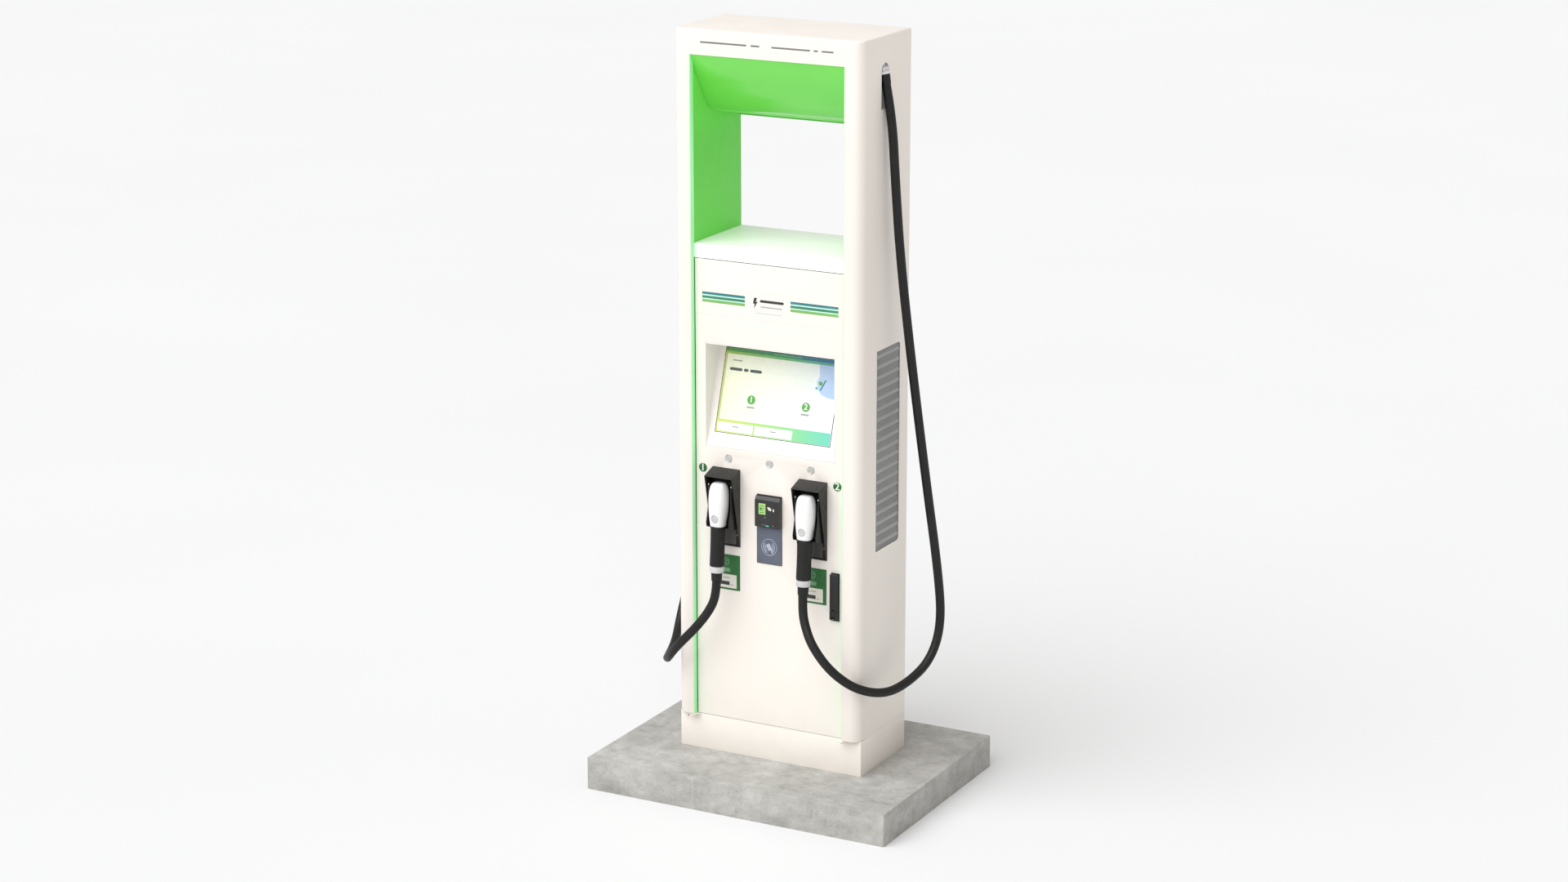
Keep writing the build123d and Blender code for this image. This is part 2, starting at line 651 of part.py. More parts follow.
def connector_grip(x):
    """Black grip under the head."""
    top = -HEAD_HALF_H
    grip = Pos(0, 0, top - GRIP_LEN / 2) * Cylinder(GRIP_R, GRIP_LEN)
    return connector_place(x) * grip


def connector_collar(x):
    """Collar nut and the tapered strain relief that the cable enters."""
    top = -HEAD_HALF_H - GRIP_LEN
    nut = Pos(0, 0, top - 10) * Cylinder(19.5, 20)
    relief_top = Plane.XY.offset(top - 20)
    relief_low = Plane.XY.offset(top - 42)
    relief = loft([relief_top * Circle(17), relief_low * Circle(15.5)])
    return connector_place(x) * (nut + relief)


# ---- the assembly ---------------------------------------------------------
def build():
    parts["concrete_pad"] = concrete_pad()
    parts["anchor_bolts"] = anchor_bolts()
    parts["plinth"] = plinth()
    right = column()
    parts["right_column"] = right
    parts["left_column"] = mirrored(right)
    parts["header"] = header()
    parts["top_cap"] = top_cap()
    parts["portal_soffit"] = portal_soffit()
    parts["portal_liners"] = both(portal_liner())
    parts["portal_shelf"] = portal_shelf()
    parts["edge_lights"] = both(edge_light())
    parts["rear_panel"] = rear_panel()
    parts["rear_screws"] = rear_screws()
    parts["vent_grilles"] = both(vent_grille())
    parts["outlet_pockets"] = both(outlet_pocket())
    parts["cable_glands"] = both(cable_gland())
    tube = cable_tube()
    parts["cable_2"] = tube
    parts["cable_1"] = mirrored(tube)

    parts["mounting_plate"] = mounting_plate()
    parts["power_modules"] = power_modules()
    parts["main_breaker"] = main_breaker()
    parts["breaker_toggle"] = breaker_toggle()
    parts["contactors"] = contactors()
    parts["control_board"] = control_board()
    parts["coolant_unit"] = coolant_unit()
    parts["fan_shrouds"] = both(fan_shroud())
    rotor = fan_rotor()
    parts["fan_rotor_right"] = rotor
    parts["fan_rotor_left"] = mirrored(rotor)

    parts["front_door"] = front_door()
    parts["hinge_pins"] = hinge_pins()
    parts["door_gasket"] = door_gasket()
    parts["graphic_band"] = graphic_band()
    parts["screen_bezel"] = screen_bezel()
    parts["touch_screen"] = touch_screen()
    parts["display_unit"] = display_unit()
    parts["reader_plate"] = reader_plate()
    parts["payment_panel"] = payment_panel()
    parts["card_reader"] = card_reader()
    parts["door_labels"] = door_labels()
    for number, x in enumerate((-LOCK_X, 0, LOCK_X), start=1):
        parts[f"lock_{number}"] = quarter_lock(x)
    parts["handle_base"] = handle_base()
    parts["handle_hub"] = handle_hub()
    parts["handle_lever"] = handle_lever()

    for number, x in enumerate((-HOLSTER_X, HOLSTER_X), start=1):
        parts[f"holster_hood_{number}"] = holster_hood(x)
        parts[f"holster_cradle_{number}"] = holster_cradle(x)
        parts[f"connector_shell_{number}"] = connector_shell(x)
        parts[f"connector_button_{number}"] = connector_button(x)
        parts[f"connector_nose_{number}"] = connector_nose(x)
        parts[f"connector_grip_{number}"] = connector_grip(x)
        parts[f"connector_collar_{number}"] = connector_collar(x)


build()
os.makedirs("parts", exist_ok=True)
for name, shape in parts.items():
    export_step(shape, f"parts/{name}.step")
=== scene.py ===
import json
from math import cos, pi, radians, sin

import bmesh
import bpy
from mathutils import Matrix, Vector

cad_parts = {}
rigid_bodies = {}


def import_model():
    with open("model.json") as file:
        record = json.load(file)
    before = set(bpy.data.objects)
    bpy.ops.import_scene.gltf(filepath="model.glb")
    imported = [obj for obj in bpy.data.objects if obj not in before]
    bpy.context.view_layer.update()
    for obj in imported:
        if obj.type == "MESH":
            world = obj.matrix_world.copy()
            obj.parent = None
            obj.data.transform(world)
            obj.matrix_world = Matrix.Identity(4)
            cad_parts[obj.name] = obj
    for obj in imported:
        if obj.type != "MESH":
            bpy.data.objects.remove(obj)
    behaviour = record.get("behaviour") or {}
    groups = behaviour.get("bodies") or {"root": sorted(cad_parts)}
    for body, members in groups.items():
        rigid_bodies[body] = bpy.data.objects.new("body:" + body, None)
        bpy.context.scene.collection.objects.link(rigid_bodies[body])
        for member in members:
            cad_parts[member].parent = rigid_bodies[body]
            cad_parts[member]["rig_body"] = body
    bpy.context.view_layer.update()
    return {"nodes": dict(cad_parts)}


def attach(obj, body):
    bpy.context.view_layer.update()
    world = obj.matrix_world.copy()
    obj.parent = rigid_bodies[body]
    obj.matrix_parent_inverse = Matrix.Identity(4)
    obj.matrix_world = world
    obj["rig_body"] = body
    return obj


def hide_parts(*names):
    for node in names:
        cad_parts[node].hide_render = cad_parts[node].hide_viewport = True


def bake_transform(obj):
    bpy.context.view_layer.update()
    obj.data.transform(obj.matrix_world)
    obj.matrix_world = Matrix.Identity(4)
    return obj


# The charging post's looks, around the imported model. Sizes below are in millimetres
# and become metres where a mesh is made. +Z is up, -Y is the user's side, +X their right.

MM = 0.001
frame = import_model()
NODES = frame["nodes"]
scene = bpy.context.scene

# ---- camera ----------------------------------------------------------------------
# The photo's view, solved from the edges of the pad and the post.
CAMERA_AZIMUTH, CAMERA_ELEVATION = radians(27.855), radians(15.407)
camera_data = bpy.data.cameras.new("camera")
camera_data.lens = 76.745
camera_data.sensor_width = 36
camera_data.clip_end = 300
camera = bpy.data.objects.new("camera", camera_data)
camera.location = (4.665, -8.872, 3.878)
camera.rotation_euler = (pi / 2 - CAMERA_ELEVATION, 0, CAMERA_AZIMUTH)
scene.collection.objects.link(camera)
scene.camera = camera


# ---- materials -------------------------------------------------------------------
def rgb(red, green, blue):
    """Linear colour from the usual 0 to 255 numbers."""
    out = []
    for value in (red, green, blue):
        v = value / 255
        out.append(v / 12.92 if v <= 0.04045 else ((v + 0.055) / 1.055) ** 2.4)
    return (*out, 1)


class Finish:
    """One procedural material: a Principled shader with textures in the object's own space."""

    def __init__(self, name, **sockets):
        self.mat = bpy.data.materials.new(name)
        self.mat.use_nodes = True
        self.tree = self.mat.node_tree
        self.shader = self.tree.nodes["Principled BSDF"]
        for key, value in sockets.items():
            self.shader.inputs[key.replace("_", " ")].default_value = value
        self.coords = self.node("TexCoord").outputs["Object"]

    def node(self, kind, **props):
        made = self.tree.nodes.new("ShaderNode" + kind)
        for key, value in props.items():
            setattr(made, key, value)
        return made

    def link(self, start, end):
        self.tree.links.new(start, end)
        return end

    def noise(self, scale, detail=3, rough=0.5, stretch=None):
        made = self.node("TexNoise")
        made.inputs["Scale"].default_value = scale
        made.inputs["Detail"].default_value = detail
        made.inputs["Roughness"].default_value = rough
        where = self.coords
        if stretch:
            mapping = self.node("Mapping")
            mapping.inputs["Scale"].default_value = stretch
            self.link(where, mapping.inputs["Vector"])
            where = mapping.outputs["Vector"]
        self.link(where, made.inputs["Vector"])
        return made.outputs["Fac"]

    def ramp(self, value, stops):
        made = self.node("ValToRGB")
        points = made.color_ramp.elements
        for _ in stops[2:]:
            points.new(0.5)
        for point, (place, colour) in zip(points, stops):
            point.position = place
            point.color = colour
        self.link(value, made.inputs["Fac"])
        return made.outputs["Color"]

    def span(self, value, low, high, out_low, out_high):
        made = self.node("MapRange")
        numbers = (low, high, out_low, out_high)
        for key, number in zip(("From Min", "From Max", "To Min", "To Max"), numbers):
            made.inputs[key].default_value = number
        self.link(value, made.inputs["Value"])
        return made.outputs["Result"]

    def mix(self, factor, first, second, blend="MIX"):
        made = self.node("Mix", data_type="RGBA", blend_type=blend)
        for value, socket in ((factor, 0), (first, 6), (second, 7)):
            if hasattr(value, "is_output"):
                self.link(value, made.inputs[socket])
            else:
                made.inputs[socket].default_value = value
        return made.outputs[2]

    def axis(self, name):
        made = self.node("SeparateXYZ")
        self.link(self.coords, made.inputs[0])
        return made.outputs[name]

    def bump(self, height, strength, distance):
        made = self.node("Bump")
        made.inputs["Strength"].default_value = strength
        made.inputs["Distance"].default_value = distance
        self.link(height, made.inputs["Height"])
        self.link(made.outputs["Normal"], self.shader.inputs["Normal"])

    def grain(self, scale, strength, distance):
        self.bump(self.noise(scale, 2), strength, distance)

    def maths(self, operation, first, second):
        made = self.node("Math", operation=operation)
        self.link(first, made.inputs[0])
        self.link(second, made.inputs[1])
        return made.outputs[0]

    def cells(self, scale, randomness=1.0):
        """Distance from the middle of the nearest cell."""
        made = self.node("TexVoronoi", feature="F1")
        made.inputs["Scale"].default_value = scale
        made.inputs["Randomness"].default_value = randomness
        self.link(self.coords, made.inputs["Vector"])
        return made.outputs["Distance"]

    def colour(self, value):
        self.link(value, self.shader.inputs["Base Color"])

    def glow(self, value, strength):
        self.link(value, self.shader.inputs["Emission Color"])
        self.shader.inputs["Emission Strength"].default_value = strength

    def rough(self, value):
        self.link(value, self.shader.inputs["Roughness"])

    def uneven_gloss(self, scale, detail, low, high):
        self.rough(self.span(self.noise(scale, detail), 0.3, 0.7, low, high))


def surface(name, low, high, rough, scale=5, bump=0.1, grain=900, depth=0.0002, **sockets):
    """A finish whose colour drifts between two tones, with uneven gloss and a fine grain."""
    made = Finish(name, **sockets)
    drift = made.noise(scale, 5)
    made.colour(made.ramp(drift, [(0.35, rgb(*low)), (0.65, rgb(*high))]))
    made.uneven_gloss(scale * 7, 4, *rough)
    made.grain(grain, bump, depth)
    return made.mat


def ink(name, low, high):
    return surface(f"print_{name}", low, high, (0.4, 0.5), 20, 0.04)


def film(name, low, high):
    return surface(f"band_{name}", low, high, (0.35, 0.45), 12, 0.04)


def body_white():
    """Satin powder coat with faint orange peel, turning darker and warmer in patches towards the ground."""
    made = Finish("body_white", Specular_IOR_Level=0.4)
    drift = made.ramp(made.noise(2.5, 5), [(0.3, rgb(242, 235, 226)), (0.7, rgb(246, 239, 231))])
    # Below about half a metre the colour turns darker and warmer, in patches.
    height = made.span(made.axis("Z"), 0.1, 0.55, 1, 0)
    low_patches = made.span(made.noise(9, 6, 0.65), 0.42, 0.75, 0, 0.3)
    made.colour(made.mix(made.maths("MULTIPLY", height, low_patches), drift, rgb(228, 220, 208)))
    made.uneven_gloss(14, 4, 0.34, 0.46)
    made.grain(750, 0.05, 0.0002)
    return made.mat


def concrete():
    """Cast concrete: blotches, run marks down its sides, sand grain and small air holes."""
    made = Finish("concrete", Specular_IOR_Level=0.3)
    cloud = made.noise(8.5, 14, 0.78, (1, 1.1, 1.6))
    places = (0.34, 0.46, 0.54, 0.66)
    tones = (rgb(164, 162, 157), rgb(186, 184, 179), rgb(196, 194, 189), rgb(212, 211, 207))
    tone = made.ramp(cloud, list(zip(places, tones)))
    blotch = made.span(made.noise(24, 12, 0.8), 0.5, 0.68, 0, 0.42)
    tone = made.mix(blotch, tone, rgb(150, 148, 143))
    run = made.span(made.noise(38, 5, 0.6, (1, 1, 0.14)), 0.56, 0.7, 0, 0.3)
    tone = made.mix(run, tone, rgb(214, 213, 210))
    grain = made.ramp(made.noise(520, 4, 0.7), [(0.32, rgb(200, 200, 200)), (0.68, rgb(255, 255, 255))])
    tone = made.mix(0.7, tone, grain, "MULTIPLY")
    sparse = made.span(made.noise(34, 2), 0.54, 0.58, 0, 1)
    pit = made.maths("MULTIPLY", made.span(made.cells(64), 0.08, 0.15, 1, 0), sparse)
    made.colour(made.mix(pit, tone, rgb(116, 114, 110)))
    made.rough(made.span(cloud, 0.3, 0.7, 0.78, 0.93))
    made.bump(made.maths("SUBTRACT", made.noise(150, 6, 0.7), pit), 0.35, 0.0012)
    return made.mat


def portal_green(name, coat, rough, glow):
    """Green lacquer, lit along its edge by the light strips."""
    made = Finish(name, Coat_Weight=coat, Coat_Roughness=0.03)
    shade = made.span(made.axis("Z"), 1.72, 2.3, 0, 1)
    drift = made.ramp(shade, [(0.0, rgb(110, 203, 84)), (0.55, rgb(104, 196, 78)), (1.0, rgb(112, 218, 76))])
    made.colour(made.mix(made.span(made.noise(6, 5), 0.35, 0.65, 0, 0.12), drift, rgb(92, 180, 74)))
    made.glow(drift, glow)
    made.uneven_gloss(30, 4, *rough)
    made.grain(600, 0.04, 0.0002)
    return made.mat


def light_strip():
    """Frosted green diffuser, lit from behind, a little uneven along its length."""
    made = Finish("light_strip", Specular_IOR_Level=0.4)
    glow = made.ramp(made.noise(3, 2), [(0.3, rgb(142, 222, 152)), (0.7, rgb(160, 234, 172))])
    made.colour(glow)
    made.glow(glow, 0.32)
    made.uneven_gloss(120, 3, 0.3, 0.45)
    made.grain(900, 0.05, 0.0001)
    return made.mat


def screen_print(name, left, middle, right, strength=0.06):
    """One area of the lit display, whose colour runs across it from left to right."""
    made = Finish(name, Coat_Weight=0.8, Coat_Roughness=0.06)
    across = made.span(made.axis("X"), -0.2, 0.2, 0, 1)
    tone = made.ramp(across, [(0.0, rgb(*left)), (0.5, rgb(*middle)), (1.0, rgb(*right))])
    tone = made.mix(made.span(made.noise(1800, 1), 0.3, 0.7, 0, 0.05), tone, rgb(170, 175, 170))
    made.colour(tone)
    made.glow(tone, strength)
    made.uneven_gloss(40, 3, 0.22, 0.3)
    return made.mat


def vent_sheet():
    """Grey perforated sheet behind the louvre ribs."""
    made = Finish("vent_grey", Metallic=0.2)
    holes = made.cells(260, 0.0)
    dots = made.span(holes, 0.28, 0.42, 0.55, 0)
    drift = made.ramp(made.noise(8, 4), [(0.35, rgb(126, 126, 125)), (0.65, rgb(138, 138, 137))])
    made.colour(made.mix(dots, drift, rgb(96, 96, 95)))
    made.uneven_gloss(60, 3, 0.42, 0.55)
    made.bump(made.span(holes, 0.28, 0.42, 0, 1), 0.3, 0.0004)
    return made.mat


def brushed(name, low, high, rough, stretch):
    """Bare metal with fine lines along one way."""
    made = Finish(name, Metallic=1.0)
    lines = made.noise(160, 4, 0.6, stretch)
    made.colour(made.ramp(lines, [(0.3, rgb(*low)), (0.7, rgb(*high))]))
    made.rough(made.span(lines, 0.3, 0.7, *rough))
    made.bump(lines, 0.06, 0.0001)
    return made.mat


def circuit_green():
    """Solder mask with copper tracks showing through."""
    made = Finish("circuit_board", Coat_Weight=0.4, Coat_Roughness=0.15)
    tracks = made.node("TexBrick")
    tracks.inputs["Scale"].default_value = 60
    tracks.inputs["Color1"].default_value = rgb(22, 84, 50)
    tracks.inputs["Color2"].default_value = rgb(28, 96, 58)
    tracks.inputs["Mortar"].default_value = rgb(60, 130, 78)
    tracks.inputs["Mortar Size"].default_value = 0.03
    turned = made.node("Mapping")
    turned.inputs["Rotation"].default_value = (pi / 2, 0, 0)
    made.link(made.coords, turned.inputs["Vector"])
    made.link(turned.outputs["Vector"], tracks.inputs["Vector"])
    made.colour(tracks.outputs["Color"])
    made.uneven_gloss(90, 3, 0.3, 0.42)
    made.bump(tracks.outputs["Fac"], 0.1, 0.0002)
    return made.mat


WHITE = body_white()
CONCRETE = concrete()
GREEN = portal_green("portal_green", 0.5, (0.16, 0.24), 0.12)
GREEN_MATT = portal_green("portal_green_matt", 0.0, (0.55, 0.7), 0.2)
STRIP = light_strip()
VENT = vent_sheet()
BOARD = circuit_green()
RIB = surface("louvre_rib", (158, 158, 157), (170, 170, 168), (0.4, 0.5), 6, 0.05)
# The shelf's faint glow is painted light: it makes the shelf under the header read brighter than the light
# reaching it.
SHELF_WHITE = surface(
    "shelf_white", (250, 249, 246), (252, 251, 248), (0.4, 0.5), 6, 0.05,
    Emission_Color=rgb(255, 244, 250), Emission_Strength=0.1,
)
BEZEL = surface("bezel_white", (242, 238, 231), (248, 244, 238), (0.36, 0.46), 4, 0.05)
POCKET = surface("pocket_white", (196, 196, 196), (212, 212, 212), (0.4, 0.55), 20, 0.06)
RING_WHITE = surface("gland_white", (222, 222, 222), (236, 236, 236), (0.35, 0.45), 30, 0.05)
RUBBER = surface(
    "cable_rubber", (15, 14, 13), (21, 20, 19), (0.44, 0.56), 26, 0.12, 700, 0.0003,
    Specular_IOR_Level=0.4,
)
GRIP = surface(
    "connector_black", (17, 16, 15), (23, 22, 21), (0.5, 0.62), 30, 0.25, 1100, 0.0003,
    Specular_IOR_Level=0.4,
)
SHELL = surface(
    "connector_white", (236, 236, 235), (242, 242, 241), (0.2, 0.28), 10, 0.03, 900, 0.0001,
    Coat_Weight=0.5, Coat_Roughness=0.1,
)
SHELL_GREY = surface("connector_grey", (196, 196, 196), (212, 212, 212), (0.3, 0.42), 24, 0.06)
BUTTON = surface("button_grey", (186, 186, 186), (198, 198, 198), (0.35, 0.45), 24, 0.06)
HOLSTER = surface(
    "holster_black", (32, 30, 28), (42, 39, 37), (0.4, 0.55), 18, 0.35, 1300, 0.0004,
    Specular_IOR_Level=0.45,
)
# Mid grey. On the holsters' back sheets it is painted light: the light falling on black holster plastic.
HOLSTER_BACK = surface("holster_grey", (78, 76, 75), (96, 94, 93), (0.3, 0.42), 18, 0.2, 1300, 0.0004)
READER = surface(
    "reader_black", (24, 22, 21), (31, 29, 28), (0.3, 0.42), 16, 0.08, 900, 0.0002,
    Coat_Weight=0.3, Coat_Roughness=0.12,
)
PAYMENT = surface("payment_blue", (92, 97, 113), (102, 107, 122), (0.35, 0.48), 10, 0.06)
LABEL = surface("label_green", (36, 98, 46), (46, 112, 54), (0.38, 0.5), 10, 0.04)
CREAM = surface("label_cream", (222, 217, 204), (230, 226, 214), (0.45, 0.6), 14, 0.05)
INK_WHITE = ink("white", (226, 232, 226), (240, 244, 240))
INK_PALE = ink("pale", (172, 178, 194), (188, 194, 208))
INK_FAINT = ink("faint", (104, 152, 108), (122, 168, 126))
INK_DARK = ink("dark", (44, 48, 46), (56, 60, 58))
INK_SOFT = ink("soft", (112, 112, 110), (126, 126, 124))
INK_GREY = ink("grey", (176, 176, 174), (190, 190, 188))
TEAL = film("teal", (52, 122, 128), (62, 134, 138))
MIDGREEN = film("green", (56, 128, 92), (66, 140, 102))
LEAF = film("leaf", (120, 176, 92), (132, 188, 102))
MINT = film("mint", (196, 240, 228), (208, 246, 236))
LOCK = surface(
    "lock_steel", (196, 194, 192), (214, 212, 210), (0.2, 0.34), 60, 0.05, 400, 0.0001,
    Metallic=0.6,
)
GALVANISED = surface(
    "galvanised_steel", (164, 167, 170), (180, 183, 185), (0.4, 0.5), 320, 0.05, 300, 0.0001,
    Metallic=0.8,
)
EQUIPMENT = surface("equipment_grey", (150, 153, 156), (164, 167, 169), (0.42, 0.56), 8, 0.12)
BLACK = surface("equipment_black", (22, 21, 21), (31, 30, 30), (0.4, 0.55), 14, 0.15)
COPPER = brushed("busbar_copper", (176, 104, 70), (206, 132, 94), (0.26, 0.4), (14, 1, 1))
LOOM_ORANGE = surface("loom_orange", (196, 92, 30), (210, 104, 38), (0.4, 0.52), 30, 0.1)
SEAL = surface("seal_rubber", (24, 24, 24), (32, 32, 32), (0.6, 0.75), 30, 0.2, 600)
DARK = surface("key_slot", (14, 14, 14), (22, 22, 22), (0.5, 0.7), 30, 0.1)
CYAN = surface(
    "slot_light", (60, 170, 140), (80, 186, 156), (0.3, 0.4), 30, 0.02,
    Emission_Color=rgb(70, 200, 165), Emission_Strength=0.12,
)
MINI = surface(
    "mini_display", (158, 200, 112), (174, 212, 128), (0.2, 0.3), 60, 0.02,
    Emission_Color=rgb(186, 226, 148), Emission_Strength=0.06,
)
MINI_INK = surface("mini_display_ink", (62, 140, 62), (76, 152, 76), (0.2, 0.3), 60, 0.02)
UI_FIELD = screen_print("screen_field", (238, 241, 212), (238, 242, 228), (226, 238, 238))
UI_TOP = screen_print("screen_top_bar", (78, 152, 72), (54, 134, 112), (50, 108, 166), 0.02)
UI_UNDER = screen_print("screen_under_bar", (156, 196, 74), (104, 186, 108), (84, 172, 172), 0.03)
UI_LOW = screen_print("screen_low_bar", (206, 216, 96), (150, 216, 120), (104, 206, 186), 0.06)
UI_SIDE = screen_print("screen_side_line", (192, 204, 124), (192, 204, 124), (192, 204, 124), 0.03)
UI_BUTTON = screen_print("screen_button", (242, 244, 222), (244, 246, 236), (244, 246, 240))
UI_PALE = screen_print("screen_picture", (212, 226, 242), (206, 222, 242), (176, 202, 238), 0.03)
UI_DISC = screen_print("screen_disc", (84, 168, 66), (84, 168, 66), (88, 166, 62), 0.02)
UI_BLUE = screen_print("screen_blue", (64, 130, 150), (64, 130, 150), (70, 140, 170), 0.02)
UI_INK = screen_print("screen_ink", (74, 84, 80), (74, 84, 80), (74, 84, 80), 0.01)
UI_GREY = screen_print("screen_grey", (150, 158, 150), (150, 158, 150), (150, 158, 150), 0.01)
GLASS = surface("screen_glass", (26, 30, 30), (32, 36, 36), (0.06, 0.1), 10, 0.01, Coat_Weight=0.5)


# ---- mesh tools ------------------------------------------------------------------
def aim(origin, axis):
    """Placement whose local Z runs along axis, starting at origin."""
    z = Vector(axis).normalized()
    side = Vector((1, 0, 0)) if abs(z.x) < 0.9 else Vector((0, 1, 0))
    y = z.cross(side).normalized()
    x = y.cross(z)
    return Matrix.Translation(origin) @ Matrix((x, y, z)).transposed().to_4x4()


def at(x, y, z=0):
    return Matrix.Translation((x, y, z))


def mirrored(sign, near, far):
    """Low and high end of a stretch on the side that the sign gives."""
    return sorted((sign * near, sign * far))


def facing(x, y, z):
    """Placement for a thing on the door's face: local X is right, local Y up, local Z at the user."""
    m = Matrix(((1, 0, 0), (0, 0, -1), (0, 1, 0))).to_4x4()
    return at(x, y, z) @ m


def clean(bm):
    """Welds doubled points and merges faces that lie in one plane."""
    bmesh.ops.remove_doubles(bm, verts=bm.verts, dist=1e-5)
    bmesh.ops.dissolve_limit(bm, angle_limit=radians(0.5), verts=bm.verts, edges=bm.edges)


def bevel(bm, edges, width, steps):
    bmesh.ops.bevel(bm, geom=edges, offset=width, segments=steps, profile=0.5, affect="EDGES")


def skin(bm, rings):
    """Faces between closed rings of points. A ring of one point closes the skin."""
    for low, high in zip(rings, rings[1:]):
        count = max(len(low), len(high))
        for i in range(count):
            j = (i + 1) % count
            corners = (low[i % len(low)], low[j % len(low)], high[j % len(high)], high[i % len(high)])
            bm.faces.new(list(dict.fromkeys(corners)))


def applied(obj):
    """The object's mesh with its modifiers worked in."""
    bpy.context.view_layer.update()
    shape = obj.evaluated_get(bpy.context.evaluated_depsgraph_get())
    mesh = bpy.data.meshes.new_from_object(shape)
    obj.modifiers.clear()
    obj.data = mesh
    return obj


def modify(obj, kind, **props):
    made = obj.modifiers.new(kind.lower(), kind)
    for key, value in props.items():
        setattr(made, key, value)
    return made


def finish_piece(obj, body, replaces=(), crease=32):
    """Smooths, rides on the body and stands for the CAD nodes."""
    mesh = obj.data
    mesh.polygons.foreach_set("use_smooth", [True] * len(mesh.polygons))
    mesh.set_sharp_from_angle(angle=radians(crease))
    if body:
        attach(obj, body)
    if replaces:
        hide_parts(*replaces)
    return obj


class Shape:
    """A mesh put together from shaped parts, each with its own material."""

    def __init__(self):
        self.bm = bmesh.new()
        self.mats = []

    def take(self, other, mat, place=None):
        """Adds a bmesh, in millimetres, and frees it."""
        if mat not in self.mats:
            self.mats.append(mat)
        index = self.mats.index(mat)
        for face in other.faces:
            face.material_index = index
        if place is not None:
            other.transform(place)
        mesh = bpy.data.meshes.new("part")
        other.to_mesh(mesh)
        other.free()
        self.bm.from_mesh(mesh)
        bpy.data.meshes.remove(mesh)
        return self

    def box(self, x0, x1, y0, y1, z0, z1, mat, edge=0.6, steps=2, place=None):
        """A block with rounded edges."""
        part = bmesh.new()
        bmesh.ops.create_cube(part, size=1)
        for v in part.verts:
            ends = ((x0, x1), (y0, y1), (z0, z1))
            v.co = Vector([(low + high) / 2 + c * (high - low) for c, (low, high) in zip(v.co, ends)])
        if edge:
            bevel(part, part.edges[:], edge, steps)
        return self.take(part, mat, place)

    def slab(self, outline, low, high, mat, place=None, edge=0.0, steps=2):
        """A flat outline in local X and Y, thickened along local Z."""
        part = bmesh.new()
        bottom = [part.verts.new((x, y, low)) for x, y in outline]
        top = [part.verts.new((x, y, high)) for x, y in outline]
        part.faces.new(bottom[::-1])
        part.faces.new(top)
        skin(part, [bottom, top])
        bmesh.ops.recalc_face_normals(part, faces=part.faces)
        if edge:
            rim = [e for e in part.edges if e.verts[0].co.z == high == e.verts[1].co.z]
            bevel(part, rim, edge, steps)
        return self.take(part, mat, place)

    def lathe(self, profile, mat, place=None, steps=48):
        """A turned shape: (radius, height) pairs round local Z. A radius of 0 closes it."""
        part = bmesh.new()
        rings = []
        for radius, height in profile:
            if radius <= 0:
                rings.append([part.verts.new((0, 0, height))])
                continue
            angles = (2 * pi * i / steps for i in range(steps))
            rings.append([part.verts.new((radius * cos(a), radius * sin(a), height)) for a in angles])
        skin(part, rings)
        bmesh.ops.recalc_face_normals(part, faces=part.faces)
        return self.take(part, mat, place)

    def piece(self, name, body, slot, replaces=(), crease=32):
        self.bm.transform(Matrix.Scale(MM, 4))
        mesh = bpy.data.meshes.new(name)
        self.bm.to_mesh(mesh)
        self.bm.free()
        for mat in self.mats:
            mesh.materials.append(mat)
        obj = bpy.data.objects.new(name, mesh)
        scene.collection.objects.link(obj)
        return finish_piece(obj, body, replaces, crease)


def rounded(x0, x1, y0, y1, radius, steps=6):
    """Outline of a rectangle with round corners."""
    points = []
    for cx, cy, start in (
        (x1 - radius, y0 + radius, -90),
        (x1 - radius, y1 - radius, 0),
        (x0 + radius, y1 - radius, 90),
        (x0 + radius, y0 + radius, 180),
    ):
        for i in range(steps + 1):
            a = radians(start + 90 * i / steps)
            points.append((cx + radius * cos(a), cy + radius * sin(a)))
    return points


def rect(x0, x1, y0, y1):
    return [(x0, y0), (x1, y0), (x1, y1), (x0, y1)]


def disc(x, y, radius, steps=40, squeeze=1.0):
    return [
        (x + radius * cos(2 * pi * i / steps), y + radius * squeeze * sin(2 * pi * i / steps))
        for i in range(steps)
    ]


def arc_band(x, y, inner, outer, start, stop, steps=24):
    """Outline of part of a ring."""
    angles = [radians(start + (stop - start) * i / steps) for i in range(steps + 1)]
    out = [(x + outer * cos(a), y + outer * sin(a)) for a in angles]
    return out + [(x + inner * cos(a), y + inner * sin(a)) for a in reversed(angles)]


def turned(outline, x, y, degrees_):
    """An outline turned about a point."""
    a = radians(degrees_)
    return [
        (x + (px - x) * cos(a) - (py - y) * sin(a), y + (px - x) * sin(a) + (py - y) * cos(a))
        for px, py in outline
    ]


def numeral(shape, digit, size, place, mat):
    """A raised digit, centred on the placement."""
    font = bpy.data.curves.new("digit", "FONT")
    font.body = digit
    font.size = size
    font.extrude = 0.25
    font.offset = 0.02 * size
    font.align_x = "CENTER"
    font.align_y = "CENTER"
    obj = bpy.data.objects.new("digit", font)
    mesh = bpy.data.meshes.new_from_object(obj)
    part = bmesh.new()
    part.from_mesh(mesh)
    bmesh.ops.remove_doubles(part, verts=part.verts, dist=1e-4)
    bpy.data.objects.remove(obj)
    shape.take(part, mat, place)


